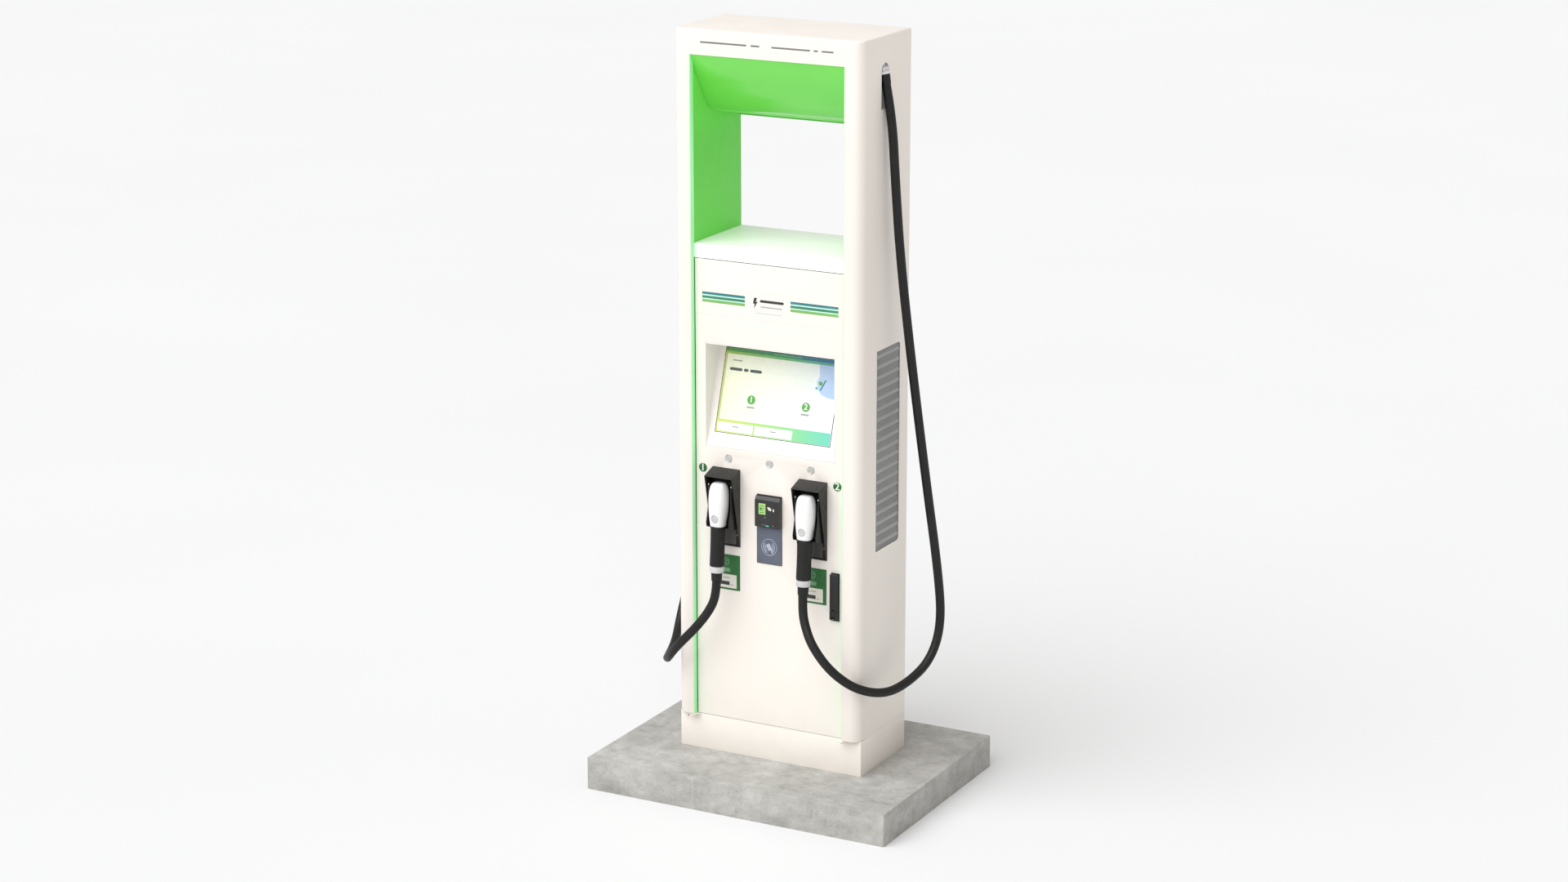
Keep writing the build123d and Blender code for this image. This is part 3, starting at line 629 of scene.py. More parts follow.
def refined(node, name, mat, edge=1.0, steps=2):
    """The CAD node's shape again, with its edges rounded off, in its place."""
    part = bmesh.new()
    part.from_mesh(NODES[node].data)
    clean(part)
    mesh = bpy.data.meshes.new(name)
    part.to_mesh(mesh)
    part.free()
    mesh.materials.clear()
    mesh.materials.append(mat)
    obj = bpy.data.objects.new(name, mesh)
    scene.collection.objects.link(obj)
    modify(obj, "BEVEL", width=edge * MM, segments=steps, limit_method="ANGLE", angle_limit=radians(40))
    applied(obj)
    return finish_piece(obj, NODES[node]["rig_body"], (node,))


# ---- cords -----------------------------------------------------------------------
CABLE_R = 14
# The right cable's route from its gland to its connector. The left one is its mirror image.
ROUTE = [
    (316, -5, 2291),
    (343, -4, 2168),
    (352, 4, 1965),
    (365, 18, 1720),
    (392, 46, 1400),
    (424, 88, 1030),
    (454, 124, 720),
    (463, 134, 550),
    (450, 86, 444),
    (417, -4, 392),
    (381, -100, 376),
    (325, -188, 410),
    (264, -240, 474),
    (202, -244, 548),
    (165, -222, 606),
    (151.5, -210.1, 652.6),
    (151.5, -206.7, 701.5),
]
# Route points above the place where each cable's two stretches meet.
JOIN = {1: 12, 2: 10}
# Where the left cable hangs differently: point number and how far it moves.
LEFT_SHIFT = {
    4: (12, 6, 0), 5: (20, 12, 0), 6: (26, 18, 0), 7: (14, 8, 0),
    10: (-6, -6, 0), 11: (-10, -12, 0), 12: (-8, -12, 0),
}


def spline_line(points, resolution=14):
    """The smooth line of a NURBS spline with these control points, in metres."""
    curve = bpy.data.curves.new("route", "CURVE")
    curve.dimensions = "3D"
    curve.resolution_u = resolution
    spline = curve.splines.new("NURBS")
    spline.points.add(len(points) - 1)
    for point, place in zip(spline.points, points):
        point.co = (*(MM * c for c in place), 1)
    spline.order_u = 3
    spline.use_endpoint_u = True
    obj = bpy.data.objects.new("route", curve)
    mesh = bpy.data.meshes.new_from_object(obj)
    line = [v.co.copy() for v in mesh.vertices]
    bpy.data.objects.remove(obj)
    return line


def tube(name, line, radius, mat, sides=28):
    """A closed tube round a line, without twist."""
    mesh = bpy.data.meshes.new(name)
    bm = bmesh.new()
    rings = []
    normal = Vector((0, 1, 0))
    for i, point in enumerate(line):
        ahead = line[min(i + 1, len(line) - 1)] - line[max(i - 1, 0)]
        ahead.normalize()
        normal = (normal - ahead * normal.dot(ahead)).normalized()
        other = ahead.cross(normal)
        ring = []
        for k in range(sides):
            a = 2 * pi * k / sides
            ring.append(bm.verts.new(point + radius * (normal * cos(a) + other * sin(a))))
        rings.append(ring)
    skin(bm, rings)
    bm.faces.new(rings[0][::-1])
    bm.faces.new(rings[-1])
    bmesh.ops.recalc_face_normals(bm, faces=bm.faces)
    bm.to_mesh(mesh)
    bm.free()
    mesh.materials.append(mat)
    obj = bpy.data.objects.new(name, mesh)
    scene.collection.objects.link(obj)
    return obj


cord_tails = {}
for number, sign in ((1, -1), (2, 1)):
    route = [(sign * x, y, z) for x, y, z in ROUTE]
    if sign < 0:
        for place, shift in LEFT_SHIFT.items():
            route[place] = tuple(a + b for a, b in zip(route[place], shift))
    join = JOIN[number]
    meeting = tuple((a + b) / 2 for a, b in zip(route[join - 1], route[join]))
    upper = spline_line(route[:join] + [meeting])
    lower = spline_line([meeting] + route[join:])
    drop = tube(f"cable_{number}_drop", upper, CABLE_R * MM, RUBBER)
    finish_piece(drop, None, (f"cable_{number}",))
    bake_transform(drop)
    tail = tube(f"cable_{number}_tail", lower, CABLE_R * MM, RUBBER)
    finish_piece(tail, None, (f"cable_{number}",))
    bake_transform(tail)
    cord_tails[number] = (tail, lower, meeting)


# ---- casing ----------------------------------------------------------------------
FRONT_Y, DOOR_Y, REAR_Y = -160, -140, 170
HALF_W, INNER_X = 320, 262
FOOT_Z, PORTAL_TOP, ROOF_Z = 221.5, 2328, 2406
CORNER_R = 32
SHEET = 3


def boolean_cut(obj, cutters):
    """Cuts these closed shapes out of the object and removes them."""
    for cutter in cutters:
        modify(obj, "BOOLEAN", operation="DIFFERENCE", solver="EXACT", object=cutter)
    applied(obj)
    for cutter in cutters:
        bpy.data.objects.remove(cutter)


def cutter_from(shape):
    obj = shape.piece("cutter", None, "body_white")
    obj.hide_render = True
    return obj


def post_frame():
    """Both columns, the header and the roof as one folded and welded skin."""
    corner = [
        (HALF_W - CORNER_R + CORNER_R * sin(a), FRONT_Y + CORNER_R - CORNER_R * cos(a))
        for a in (pi / 2 * i / 12 for i in range(13))
    ]
    right = [(INNER_X, FRONT_Y), *corner, (HALF_W, REAR_Y), (INNER_X + 6, REAR_Y)]
    left = [(-x, y) for x, y in reversed(right)]
    outline = left + right
    opening = len(left) - 1
    levels = [FOOT_Z, PORTAL_TOP, ROOF_Z]
    bm = bmesh.new()
    rings = [[bm.verts.new((x, y, z)) for x, y in outline] for z in levels]
    for k in (0, 1):
        for i in range(len(outline) - 1):
            if k == 0 and i == opening:
                continue
            low, high = rings[k], rings[k + 1]
            bm.faces.new((low[i], low[i + 1], high[i + 1], high[i]))
    bm.faces.new(rings[2])
    lip_y, fold_y = FRONT_Y + 12, DOOR_Y + 3
    for sign in (-1, 1):
        x = sign * INNER_X
        for y0, y1 in ((FRONT_Y, lip_y), (lip_y, fold_y)):
            quad = [(x, y0, FOOT_Z), (x, y1, FOOT_Z), (x, y1, PORTAL_TOP), (x, y0, PORTAL_TOP)]
            bm.faces.new([bm.verts.new(p) for p in quad])
        foot = [(x, fold_y)] + [(sign * px, py) for px, py in right]
        bm.faces.new([bm.verts.new((px, py, FOOT_Z)) for px, py in foot])
    under = rect(-INNER_X, INNER_X, FRONT_Y, lip_y)
    bm.faces.new([bm.verts.new((px, py, PORTAL_TOP)) for px, py in under])
    bmesh.ops.remove_doubles(bm, verts=bm.verts, dist=0.01)
    bmesh.ops.recalc_face_normals(bm, faces=bm.faces)
    roof = max(bm.faces, key=lambda f: f.calc_center_median().z)
    if roof.normal.z < 0:
        bmesh.ops.reverse_faces(bm, faces=bm.faces)

    def edges_where(test):
        return [e for e in bm.edges if len(e.link_faces) == 2 and all(test(v.co) for v in e.verts)]

    def near(value, goal):
        return abs(value - goal) < 0.1

    def in_front(p):
        return near(p.y, FRONT_Y)

    rims = (  # which points, width of the rounding, steps
        (lambda p: near(p.z, ROOF_Z), 6, 5),
        (lambda p: in_front(p) and near(abs(p.x), INNER_X) and p.z < PORTAL_TOP + 1, 1.6, 3),
        (lambda p: near(p.z, PORTAL_TOP) and in_front(p) and abs(p.x) < INNER_X + 1, 1.6, 3),
        (lambda p: near(p.z, FOOT_Z) and p.y < fold_y + 20, 3, 3),
    )
    for test, width, steps in rims:
        bevel(bm, edges_where(test), width, steps)
    shape = Shape()
    shape.take(bm, WHITE)
    obj = shape.piece("post_frame", None, "body_white")
    modify(obj, "SOLIDIFY", thickness=SHEET * MM, offset=-1.0)
    cutters = []
    for sign in (-1, 1):
        low, high = mirrored(sign, HALF_W - 12, HALF_W + 5)
        for outline in (vent_outline(0), outlet_outline()):
            hole = Shape()
            hole.slab(outline, low, high, WHITE, SIDE_PLACE)
            cutters.append(cutter_from(hole))
    boolean_cut(obj, cutters)
    finish_piece(obj, "cabinet", ("left_column", "right_column", "header", "top_cap"))


# Local X is the post's Y, local Y is up, and local Z is the post's X.
SIDE_PLACE = Matrix(((0, 0, 1), (1, 0, 0), (0, 1, 0))).to_4x4()
VENT_Y, VENT_Z = (-47, 114), (812, 1448)
OUTLET_Y, OUTLET_Z = (-30, 19.5), (2185, 2324)


def vent_outline(inset):
    (y0, y1), (z0, z1) = VENT_Y, VENT_Z
    sharp = rounded(y0 + inset, y1 - inset, z0 + inset, z1 - inset, 1.5)
    soft = rounded(y0 + inset, y1 - inset, z0 + inset, z1 - inset, 13 - inset)
    half = len(sharp) // 2
    return soft[:half] + sharp[half:]


def outlet_outline():
    """Flat at the bottom and round at the top."""
    (y0, y1), (z0, z1) = OUTLET_Y, OUTLET_Z
    radius = (y1 - y0) / 2
    middle, shoulder = (y0 + y1) / 2, z1 - radius
    angles = (pi * i / 20 for i in range(21))
    arch = [(middle + radius * cos(a), shoulder + radius * sin(a)) for a in angles]
    return [(y0, z0), (y1, z0)] + arch


def portal_ceiling():
    """Smoothly curved roof of the portal, with its white rear wall."""
    knots = [(-155, 2327.6), (-128, 2278), (-96, 2232), (-72, 2194), (-47, 2161), (-18, 2139)]
    knots += [(25, 2128), (95, 2113), (167, 2099)]
    line = spline_line([(0, y, z) for y, z in knots], 10)
    under = [(p.y / MM, p.z / MM) for p in line]
    half = INNER_X + 0.8
    shape = Shape()
    turn = next(i for i, (y, z) in enumerate(under) if y > -20)
    for line, mat in ((under[: turn + 1], GREEN), (under[turn:], GREEN_MATT)):
        above = [(y + 1.5, z + 2) for y, z in reversed(line)]
        shape.slab(line + above, -half, half, mat, SIDE_PLACE)
    wall = INNER_X + 6.4
    shape.box(-wall, wall, REAR_Y - 2.6, REAR_Y, 2098, ROOF_Z - 2.6, WHITE, 0.8)
    shape.box(-half, half, REAR_Y - 12, REAR_Y - 2.6, 2096.5, 2099.5, GREEN, 0.6)
    shape.piece("portal_ceiling", "cabinet", "portal_green", ("portal_soffit",))


def vent_louvres():
    """Perforated grey sheet with pressed ribs, in each side."""
    (y0, y1), (z0, z1) = VENT_Y, VENT_Z
    count = 19
    pitch = (z1 - z0 - 8) / count
    shape = Shape()
    for sign in (-1, 1):
        low, high = mirrored(sign, HALF_W - 7, HALF_W - 3)
        shape.slab(vent_outline(0.4), low, high, VENT, SIDE_PLACE)
        for i in range(count):
            z = z0 + 4 + pitch * (i + 0.5)
            rib = [(-4.4, 0), (-3.4, 1.9), (-1.2, 2.7), (1.6, 2.2), (6.4, 0)]
            part = bmesh.new()
            ends = []
            for y in (y0 + 5, y1 - 5):
                ends.append([part.verts.new((sign * (HALF_W - 3.05 + out), y, z + up)) for up, out in rib])
            skin(part, ends)
            for end in ends:
                part.faces.new(end)
            bmesh.ops.recalc_face_normals(part, faces=part.faces)
            shape.take(part, RIB)
    shape.piece("vent_louvres", "cabinet", "vent_grey", ("vent_grilles",), 50)


def cable_outlets():
    """Gland with its white ring and a short tapered boot round each cable."""
    glands, boots = Shape(), Shape()
    for sign in (-1, 1):
        start, after = (Vector((sign * x, y, z)) for x, y, z in ROUTE[:2])
        place = aim(start, after - start)
        body = [(0, -31), (8, -31), (8, -20), (15, -20), (17, -18), (17, -9), (15.6, -8), (15.6, -6), (0, -6)]
        glands.lathe(body, POCKET, place)
        ring = [(14.5, -6.5), (18.2, -6.5), (18.9, -5.4), (18.9, 0.6), (18.2, 1.6), (14.2, 1.6), (14.2, -6.5)]
        glands.lathe(ring, RING_WHITE, place)
        boot = [(14.1, 1.2), (16.8, 1.2), (16.9, 6), (16.2, 18), (15.2, 30), (14.4, 34)]
        boot += [(14.1, 34), (14.1, 1.2)]
        boots.lathe(boot, RUBBER, place)
    glands.piece("gland_bodies", "cabinet", "pocket_white", ("cable_glands",))
    boots.piece("gland_boots", "cabinet", "cable_rubber")


def light_strips():
    """Frosted strips along both columns' inner edges."""
    shape = Shape()
    for sign in (-1, 1):
        x0, x1 = mirrored(sign, INNER_X - 1.5, INNER_X + 0.1)
        shape.box(x0, x1, FRONT_Y + 1.8, DOOR_Y - 0.6, FOOT_Z + 1.5, PORTAL_TOP - 1, STRIP, 0.5, 2)
    shape.piece("light_strips", "cabinet", "light_strip", ("edge_lights",))


def header_marks():
    """Plain bars printed on the header, standing for its line of lettering."""
    shape = Shape()
    face = facing(0, FRONT_Y, 0)
    for x0, x1 in ((-224, -66), (-52, -22), (18, 148), (160, 174), (186, 226)):
        shape.slab(rounded(x0, x1, 2365.5, 2370.5, 2.4), 0.05, 0.3, INK_SOFT, face)
    shape.piece("header_marks", "cabinet", "band_print")


def rear_pressings():
    """Shallow raised fields that stiffen the rear cover."""
    shape = Shape()
    face = at(0, REAR_Y) @ Matrix(((-1, 0, 0), (0, 0, 1), (0, 1, 0))).to_4x4()
    for z0, z1 in ((300, 690), (755, 1150), (1217, 1612)):
        shape.slab(rounded(-212, 212, z0, z1, 18), -0.2, 1.8, WHITE, face, 1.5, 3)
        shape.slab(rounded(-196, 196, z0 + 16, z1 - 16, 10), 1.6, 2.6, WHITE, face, 0.9, 2)
    shape.piece("rear_pressings", "cabinet", "body_white")


post_frame()
portal_ceiling()
rear_pressings()
vent_louvres()
cable_outlets()
light_strips()
header_marks()
refined("concrete_pad", "pad", CONCRETE, 0.8, 2)
refined("plinth", "plinth_skirt", WHITE, 0.8, 2)
refined("portal_liners", "portal_cheeks", GREEN_MATT, 0.8, 2)
refined("portal_shelf", "shelf", SHELF_WHITE, 1.2, 2)
refined("outlet_pockets", "outlet_cups", POCKET, 0.8, 2)
refined("rear_panel", "rear_cover", WHITE, 1.0, 2)


# ---- front door ------------------------------------------------------------------
refined("front_door", "door_tray", WHITE, 1.2, 3)


def door_top_gap_shade():
    """A thin black strip laid in the gap along the door's top edge, open round the pivot: painted shade that
    makes the gap read as a dark line.
    """
    shape = Shape()
    for x0, x1 in ((-257, -249), (-231, 257)):
        shape.box(x0, x1, DOOR_Y + 1, DOOR_Y + 26, 1698.8, 1699.6, SEAL, 0.2, 1)
    shape.piece("door_top_gap_shade", "door", "seal_rubber")


door_top_gap_shade()

LOCK_X, LOCK_Z = 143.5, 1076
HOLSTER_X = 151.5
HOLSTERS = ((1, -HOLSTER_X), (2, HOLSTER_X))
DOOR_FACE = facing(0, DOOR_Y, 0)


def graphic_band():
    """White film across the door with two groups of coloured lines and a plain bolt."""
    shape = Shape()
    shape.slab(rounded(-255, 255, 1527, 1620, 2), 0.0, 0.7, WHITE, DOOR_FACE, 0.3)
    levels = (1597, 1589, 1585, 1577, 1573.5, 1565)
    inks = (TEAL, MINT, MIDGREEN, MINT, LEAF)
    for x0, x1 in ((-233, -84), (73, 236)):
        for z1, z0, mat in zip(levels, levels[1:], inks):
            shape.slab(rect(x0, x1, z0, z1), 0.5, 0.95, mat, DOOR_FACE)
    bolt = [(-52, 1596), (-42, 1596), (-46, 1584), (-40, 1584), (-53, 1562), (-50, 1577), (-56, 1577)]
    shape.slab(bolt, 0.5, 1.0, INK_DARK, DOOR_FACE)
    shape.slab(rounded(-32, 50, 1583, 1591, 3.9), 0.5, 1.0, INK_DARK, DOOR_FACE)
    shape.slab(rounded(-30, 44, 1567, 1571.5, 2.2), 0.5, 1.0, INK_GREY, DOOR_FACE)
    shape.slab(rounded(-46, 42, 1548, 1549.6, 0.8), 0.5, 0.9, INK_GREY, DOOR_FACE)
    shape.piece("band_film", "door", "band_print", ("graphic_band",))


SLOPE_LOW, SLOPE_HIGH = Vector((0, -137.5, 1111)), Vector((0, -44, 1411))
slope_up = (SLOPE_HIGH - SLOPE_LOW).normalized()
slope_out = Vector((1, 0, 0)).cross(slope_up)
slope_axes = Matrix((Vector((1, 0, 0)), slope_up, slope_out)).transposed()
SLOPE = Matrix.Translation(SLOPE_LOW) @ slope_axes.to_4x4()


def screen_recess():
    """Funnel round the screen: sloping panel with its window, two cheeks and a roof."""
    shape = Shape()
    outer, inner = (-223.2, 223.2, -1.5, 314.4), (-201.2, 201.2, 41.8, 310.2)
    panel = bmesh.new()
    corners = []
    for x0, x1, y0, y1 in (outer, inner):
        flat = ((x0, y0), (x1, y0), (x1, y1), (x0, y1))
        corners.append([[panel.verts.new((x, y, z)) for x, y in flat] for z in (0, -3)])
    (outer_top, outer_low), (inner_top, inner_low) = corners
    skin(panel, [outer_top, inner_top, inner_low, outer_low, outer_top])
    bmesh.ops.recalc_face_normals(panel, faces=panel.faces)
    shape.take(panel, BEZEL, SLOPE)
    cheek = [(-140.2, 1108.5), (-134.5, 1108.5), (-40, 1415), (-140.2, 1437)]
    for sign in (-1, 1):
        low, high = mirrored(sign, 223, 226)
        shape.slab(cheek, low, high, BEZEL, SIDE_PLACE)
    roof = [(-140.2, 1434), (-44, 1411), (-40, 1415), (-140.2, 1437)]
    sill = [(-140.2, 1108.5), (-134.5, 1108.5), (-136.5, 1113), (-140.2, 1111)]
    for outline in (roof, sill):
        shape.slab(outline, -224, 224, BEZEL, SIDE_PLACE)
    shape.piece("screen_recess", "door", "bezel_white", ("screen_bezel",))


def touch_screen():
    """Glass set flush in the sloping panel, with a plain picture of a charging page on it."""
    glass = Shape()
    glass.slab(rounded(-200.3, 200.3, 42.5, 309.5, 2), -3, 0.1, GLASS, SLOPE, 0.5)
    glass.piece("screen_pane", "door", "screen_glass", ("touch_screen",))
    page = Shape()

    def area(outline, mat, level):
        page.slab(outline, 0.1, 0.1 + 0.22 * level, mat, SLOPE)

    area(rounded(-199, 199, 43.5, 308.5, 1.5), UI_FIELD, 1)
    area(rect(-199, -192, 43.5, 308), UI_SIDE, 2)
    area(rect(-199, 199, 289, 297), UI_UNDER, 3)
    area(rect(-199, 199, 297, 308.5), UI_TOP, 3)
    area(rect(-197, 197.5, 44.5, 84), UI_LOW, 3)
    area(rounded(-194, -69.5, 47.5, 76, 1), UI_BUTTON, 4)
    area(rounded(-64.5, 67, 47.5, 76, 1), UI_BUTTON, 4)
    picture = [(128, 289), (199, 289), (199, 188), (170, 190), (146, 198), (132, 214), (126, 236), (134, 252)]
    area(picture, UI_PALE, 2)
    area(turned(rounded(146, 151, 208, 246, 2.4), 148, 226, -24), UI_BLUE, 3)
    area(disc(140, 232, 6.5), UI_DISC, 3)
    area(disc(128, 216, 4), UI_UNDER, 3)
    for x, digit in ((-89, "1"), (101, "2")):
        area(disc(x, 154, 14), UI_DISC, 3)
        numeral(page, digit, 25, SLOPE @ at(x, 154, 0.9), UI_BUTTON)
        area(rounded(x - 14, x + 14, 128, 132.5, 2.2), UI_GREY, 3)
    for x0, x1 in ((-178, -134), (-129, -113), (-107, -66)):
        area(rounded(x0, x1, 238, 247, 4.4), UI_INK, 3)
    area(rounded(-172, -138, 268, 271.5, 1.7), UI_GREY, 3)
    area(rounded(-30, 66, 301, 303.6, 1.2), UI_UNDER, 4)
    area(rounded(-142, -120, 63, 66, 1.4), UI_GREY, 5)
    area(rounded(-10, 10, 63, 66, 1.4), UI_GREY, 5)
    page.piece("screen_page", "door", "screen_glass")


def card_terminal():
    """Card reader with its small display, on a plate with the contactless panel below."""
    shape = Shape()
    shape.slab(rounded(-44, 44, 753, 976, 2), 0.0, 2.0, READER, DOOR_FACE, 0.5)
    shape.piece("terminal_plate", "door", "reader_black", ("reader_plate",))
    body = Shape()
    side = [(142, 973), (150, 972), (156.2, 962), (157, 958), (157, 877), (155, 875), (142, 875)]
    place = Matrix(((0, 0, 1), (-1, 0, 0), (0, 1, 0))).to_4x4()
    body.slab(side, -43, 43, READER, place, 1.2, 3)
    front = facing(0, FRONT_Y + 3, 0)
    body.slab(rounded(-40, 31, 879, 957, 3), -0.3, 0.5, READER, front, 0.3)
    body.slab(rounded(-29, -5, 917, 952, 1.2), 0.6, 1.1, MINI, front)
    for z in (922, 929, 936, 943):
        body.slab(rect(-26, -9, z, z + 2.2), 1.0, 1.25, MINI_INK, front)
    body.slab(disc(-22, 935, 4), 1.0, 1.35, MINI_INK, front)
    hand = [(0, 941), (5, 943), (12, 941), (16, 935), (13, 931), (5, 933), (3, 938)]
    body.slab(hand, 0.4, 0.8, CREAM, front)
    body.slab(disc(22.5, 934, 2.4, squeeze=1.9), 0.4, 0.8, CREAM, front)
    body.slab(disc(-7, 908, 1.6), 0.4, 0.9, GALVANISED, front)
    body.slab(rounded(-19, -7, 882, 885.5, 1.2), 0.4, 0.9, HOLSTER_BACK, front)
    body.slab(rounded(-5, 7, 879.5, 883.5, 1.2), 0.4, 1.1, CYAN, front)
    knob = [(3.4, -0.2), (3.4, 0.9), (2.4, 1.9), (0, 2.2)]
    body.lathe(knob, HOLSTER_BACK, front @ at(22, 884, 0.5), 24)
    body.piece("terminal_body", "door", "reader_black", ("card_reader",))
    panel = Shape()
    face = facing(0, DOOR_Y - 2, 0)
    panel.slab(rounded(-43, 43, 755, 874, 1.5), 0.0, 1.0, PAYMENT, face, 0.3)
    x, z = 0, 809
    waves = (  # inner and outer radius, first and last angle
        (25.5, 27, 0, 359.9),
        (18, 20, -60, 55),
        (12.5, 14.5, -50, 48),
        (18, 20.5, 140, 250),
        (12.5, 14.5, 150, 240),
    )
    for inner, outer, start, stop in waves:
        panel.slab(arc_band(x, z, inner, outer, start, stop, 48), 0.9, 1.25, INK_PALE, face)
    panel.slab(turned(rounded(x - 7, x + 7, z - 11, z + 11, 2), x, z, 32), 0.9, 1.4, INK_PALE, face)
    panel.slab(turned(rounded(x + 5, x + 9, z - 22, z - 8, 1.9), x, z, 12), 0.9, 1.4, INK_PALE, face)
    panel.piece("contactless_panel", "door", "payment_blue", ("payment_panel",))


def door_labels():
    """Numbered discs by the holsters and green rating plates with plain marks."""
    shape = Shape()
    for x, digit in ((-234.5, "1"), (234.5, "2")):
        shape.slab(disc(x, 1035, 14), 0.0, 1.0, LABEL, DOOR_FACE, 0.3)
        numeral(shape, digit, 32, facing(x, DOOR_Y - 1.0, 1035), INK_WHITE)
    for x in (-153.5, 149.5):
        shape.slab(rounded(x - 49, x + 49, 649, 764, 1.5), 0.0, 0.8, LABEL, DOOR_FACE, 0.3)
        shape.slab(rounded(x - 37, x + 37, 655, 699, 1), 0.7, 1.1, CREAM, DOOR_FACE)
        shape.slab(rounded(x - 20, x + 12, 664, 676, 2), 1.0, 1.25, INK_DARK, DOOR_FACE)
        shape.slab(rounded(x + 15, x + 25, 664, 668, 1), 1.0, 1.25, INK_GREY, DOOR_FACE)
        shape.slab(rounded(x - 12, x + 12, 686, 690, 1), 1.0, 1.25, INK_GREY, DOOR_FACE)
        shape.slab(arc_band(x, 741, 9.5, 11.5, 0, 359.9, 40), 0.7, 1.05, INK_FAINT, DOOR_FACE)
        for dx, dz in ((-4, 744), (4, 744), (0, 737)):
            shape.slab(disc(x + dx, dz, 2.2, 20), 0.7, 1.05, INK_FAINT, DOOR_FACE)
        shape.slab(rounded(x - 14, x + 14, 708, 720, 3), 0.7, 1.05, INK_FAINT, DOOR_FACE)
    shape.piece("label_plates", "door", "label_green", ("door_labels",))


def locks():
    """Polished plugs with a key slot and a raised rim, each with its cam."""
    for number, x in enumerate((-LOCK_X, 0, LOCK_X), start=1):
        shape = Shape()
        front = facing(x, DOOR_Y, LOCK_Z)
        rim = [(0, -14), (10, -14), (10, 0), (12.4, 0), (12.4, 1.2), (11.8, 2.0), (10.6, 2.2)]
        rim += [(9.8, 1.5), (8.8, 1.3), (3, 1.8), (0, 1.8)]
        shape.lathe(rim, LOCK, front)
        slot = turned(rounded(-0.7, 0.7, -4, 4, 0.6), 0, 0, 20)
        shape.slab(slot, 1.55, 1.9, GALVANISED, front)
        shape.box(x - 5, x + 5, DOOR_Y + 10, DOOR_Y + 14, LOCK_Z, LOCK_Z + 22, GALVANISED, 0.8)
        shape.piece(f"lock_plug_{number}", f"lock_{number}", "lock_steel", (f"lock_{number}",))


def swing_handle():
    """Black lever in its escutcheon, with a covered key cylinder at the bottom."""
    hx, hz = 229.5, 624
    base = Shape()
    base.slab(rounded(215, 244, 604, 758, 1.5), 0.0, 4.0, BLACK, DOOR_FACE, 0.8, 3)
    base.slab(rounded(hx - 10, hx - 5, 606.5, 609, 1), 3.8, 4.4, GALVANISED, DOOR_FACE, 0.2)
    base.piece("handle_escutcheon", "door", "equipment_black", ("handle_base",))
    hub = Shape()
    front = facing(hx, 0, hz)
    for sign in (-1, 1):
        low, high = mirrored(sign, 7.0, 13.0)
        hub.box(hx + low, hx + high, DOOR_Y - 15.5, DOOR_Y - 4.3, hz - 14, hz + 14, BLACK, 0.8, 3)
    hub.lathe([(12.8, 144.3), (12.8, 146.5), (0, 146.5)], BLACK, front, 32)
    hub.piece("handle_fork", "handle_hub", "equipment_black", ("handle_hub",))
    lever = Shape()
    lever.slab(rounded(hx - 13, hx + 13, hz + 15, 756, 1.6), 147.5, 155.5, BLACK, facing(0, 0, 0), 1.6, 3)
    lever.box(hx - 6.5, hx + 6.5, DOOR_Y - 15.5, DOOR_Y - 7.5, hz - 4, hz + 20, BLACK, 0.8, 2)
    pin = at(hx, DOOR_Y - 11.5, hz) @ Matrix.Rotation(pi / 2, 4, "Y")
    lever.lathe(rect(0, 2, -12.4, 12.4), GALVANISED, pin, 20)
    lever.piece("handle_grip", "handle_lever", "equipment_black", ("handle_lever",))


graphic_band()
screen_recess()
touch_screen()
card_terminal()
door_labels()
locks()
swing_handle()


# ---- holsters and connectors -----------------------------------------------------
SEAT = (-190, 940)  # (y, z) of a parked connector's head
PARK_TILT = 4


def holsters():
    for number, x in HOLSTERS:
        refined(f"holster_hood_{number}", f"hood_{number}", HOLSTER, 2.2, 3)
        refined(f"holster_cradle_{number}", f"cradle_{number}", HOLSTER, 1.0, 2)
        screws = Shape()
        for sign in (-1, 1):
            place = facing(x + sign * 39.5, -183.4, 997)
            screws.lathe([(0, -1), (2.4, -1), (2.4, 0.4), (1.4, 1.2), (0, 1.3)], LOCK, place, 20)
            place = facing(x + sign * 40, -143.2, 832)
            screws.lathe([(0, -1), (2.6, -1), (2.6, 0.5), (1.6, 1.3), (0, 1.4)], LOCK, place, 20)
        screws.piece(f"holster_screws_{number}", "door", "lock_steel")
        # The back sheet is black holster plastic painted mid grey: painted light on it.
        back = Shape()
        sheet = [(-142.9, 854), (-144.2, 854), (-150.5, 806), (-150.5, 803), (-142.9, 803)]
        back.slab(sheet, x - 37.5, x + 37.5, HOLSTER_BACK, SIDE_PLACE)
        back.piece(f"holster_back_{number}", "door", "holster_black")


def head_outline(width, front, back, power=3.0, steps=36):
    """Cross-section of the connector's head: a soft box, flatter towards the post."""
    points = []
    for i in range(steps):
        a = 2 * pi * i / steps
        c, s = cos(a), sin(a)
        x = width * abs(c) ** (2 / power) * (1 if c > 0 else -1)
        reach = back if s > 0 else front
        y = reach * abs(s) ** (2 / power) * (1 if s > 0 else -1)
        points.append((x, y))
    return points


HEAD_SECTIONS = (  # height, half width, reach to the front, reach to the back
    (69.0, 12, 13, 10),
    (68.0, 17.5, 17.5, 14),
    (64.5, 22, 22, 18.5),
    (57, 25.6, 25, 22),
    (45, 28.4, 27.2, 25.5),
    (28, 29.8, 28, 28),
    (8, 30, 28, 28),
    (-12, 29.2, 27.5, 27.5),
    (-34, 27.4, 26.4, 25.5),
    (-54, 24.4, 24.6, 23.4),
    (-68, 22.6, 23.0, 22),
    (-71, 21.8, 22.2, 21.4),
)


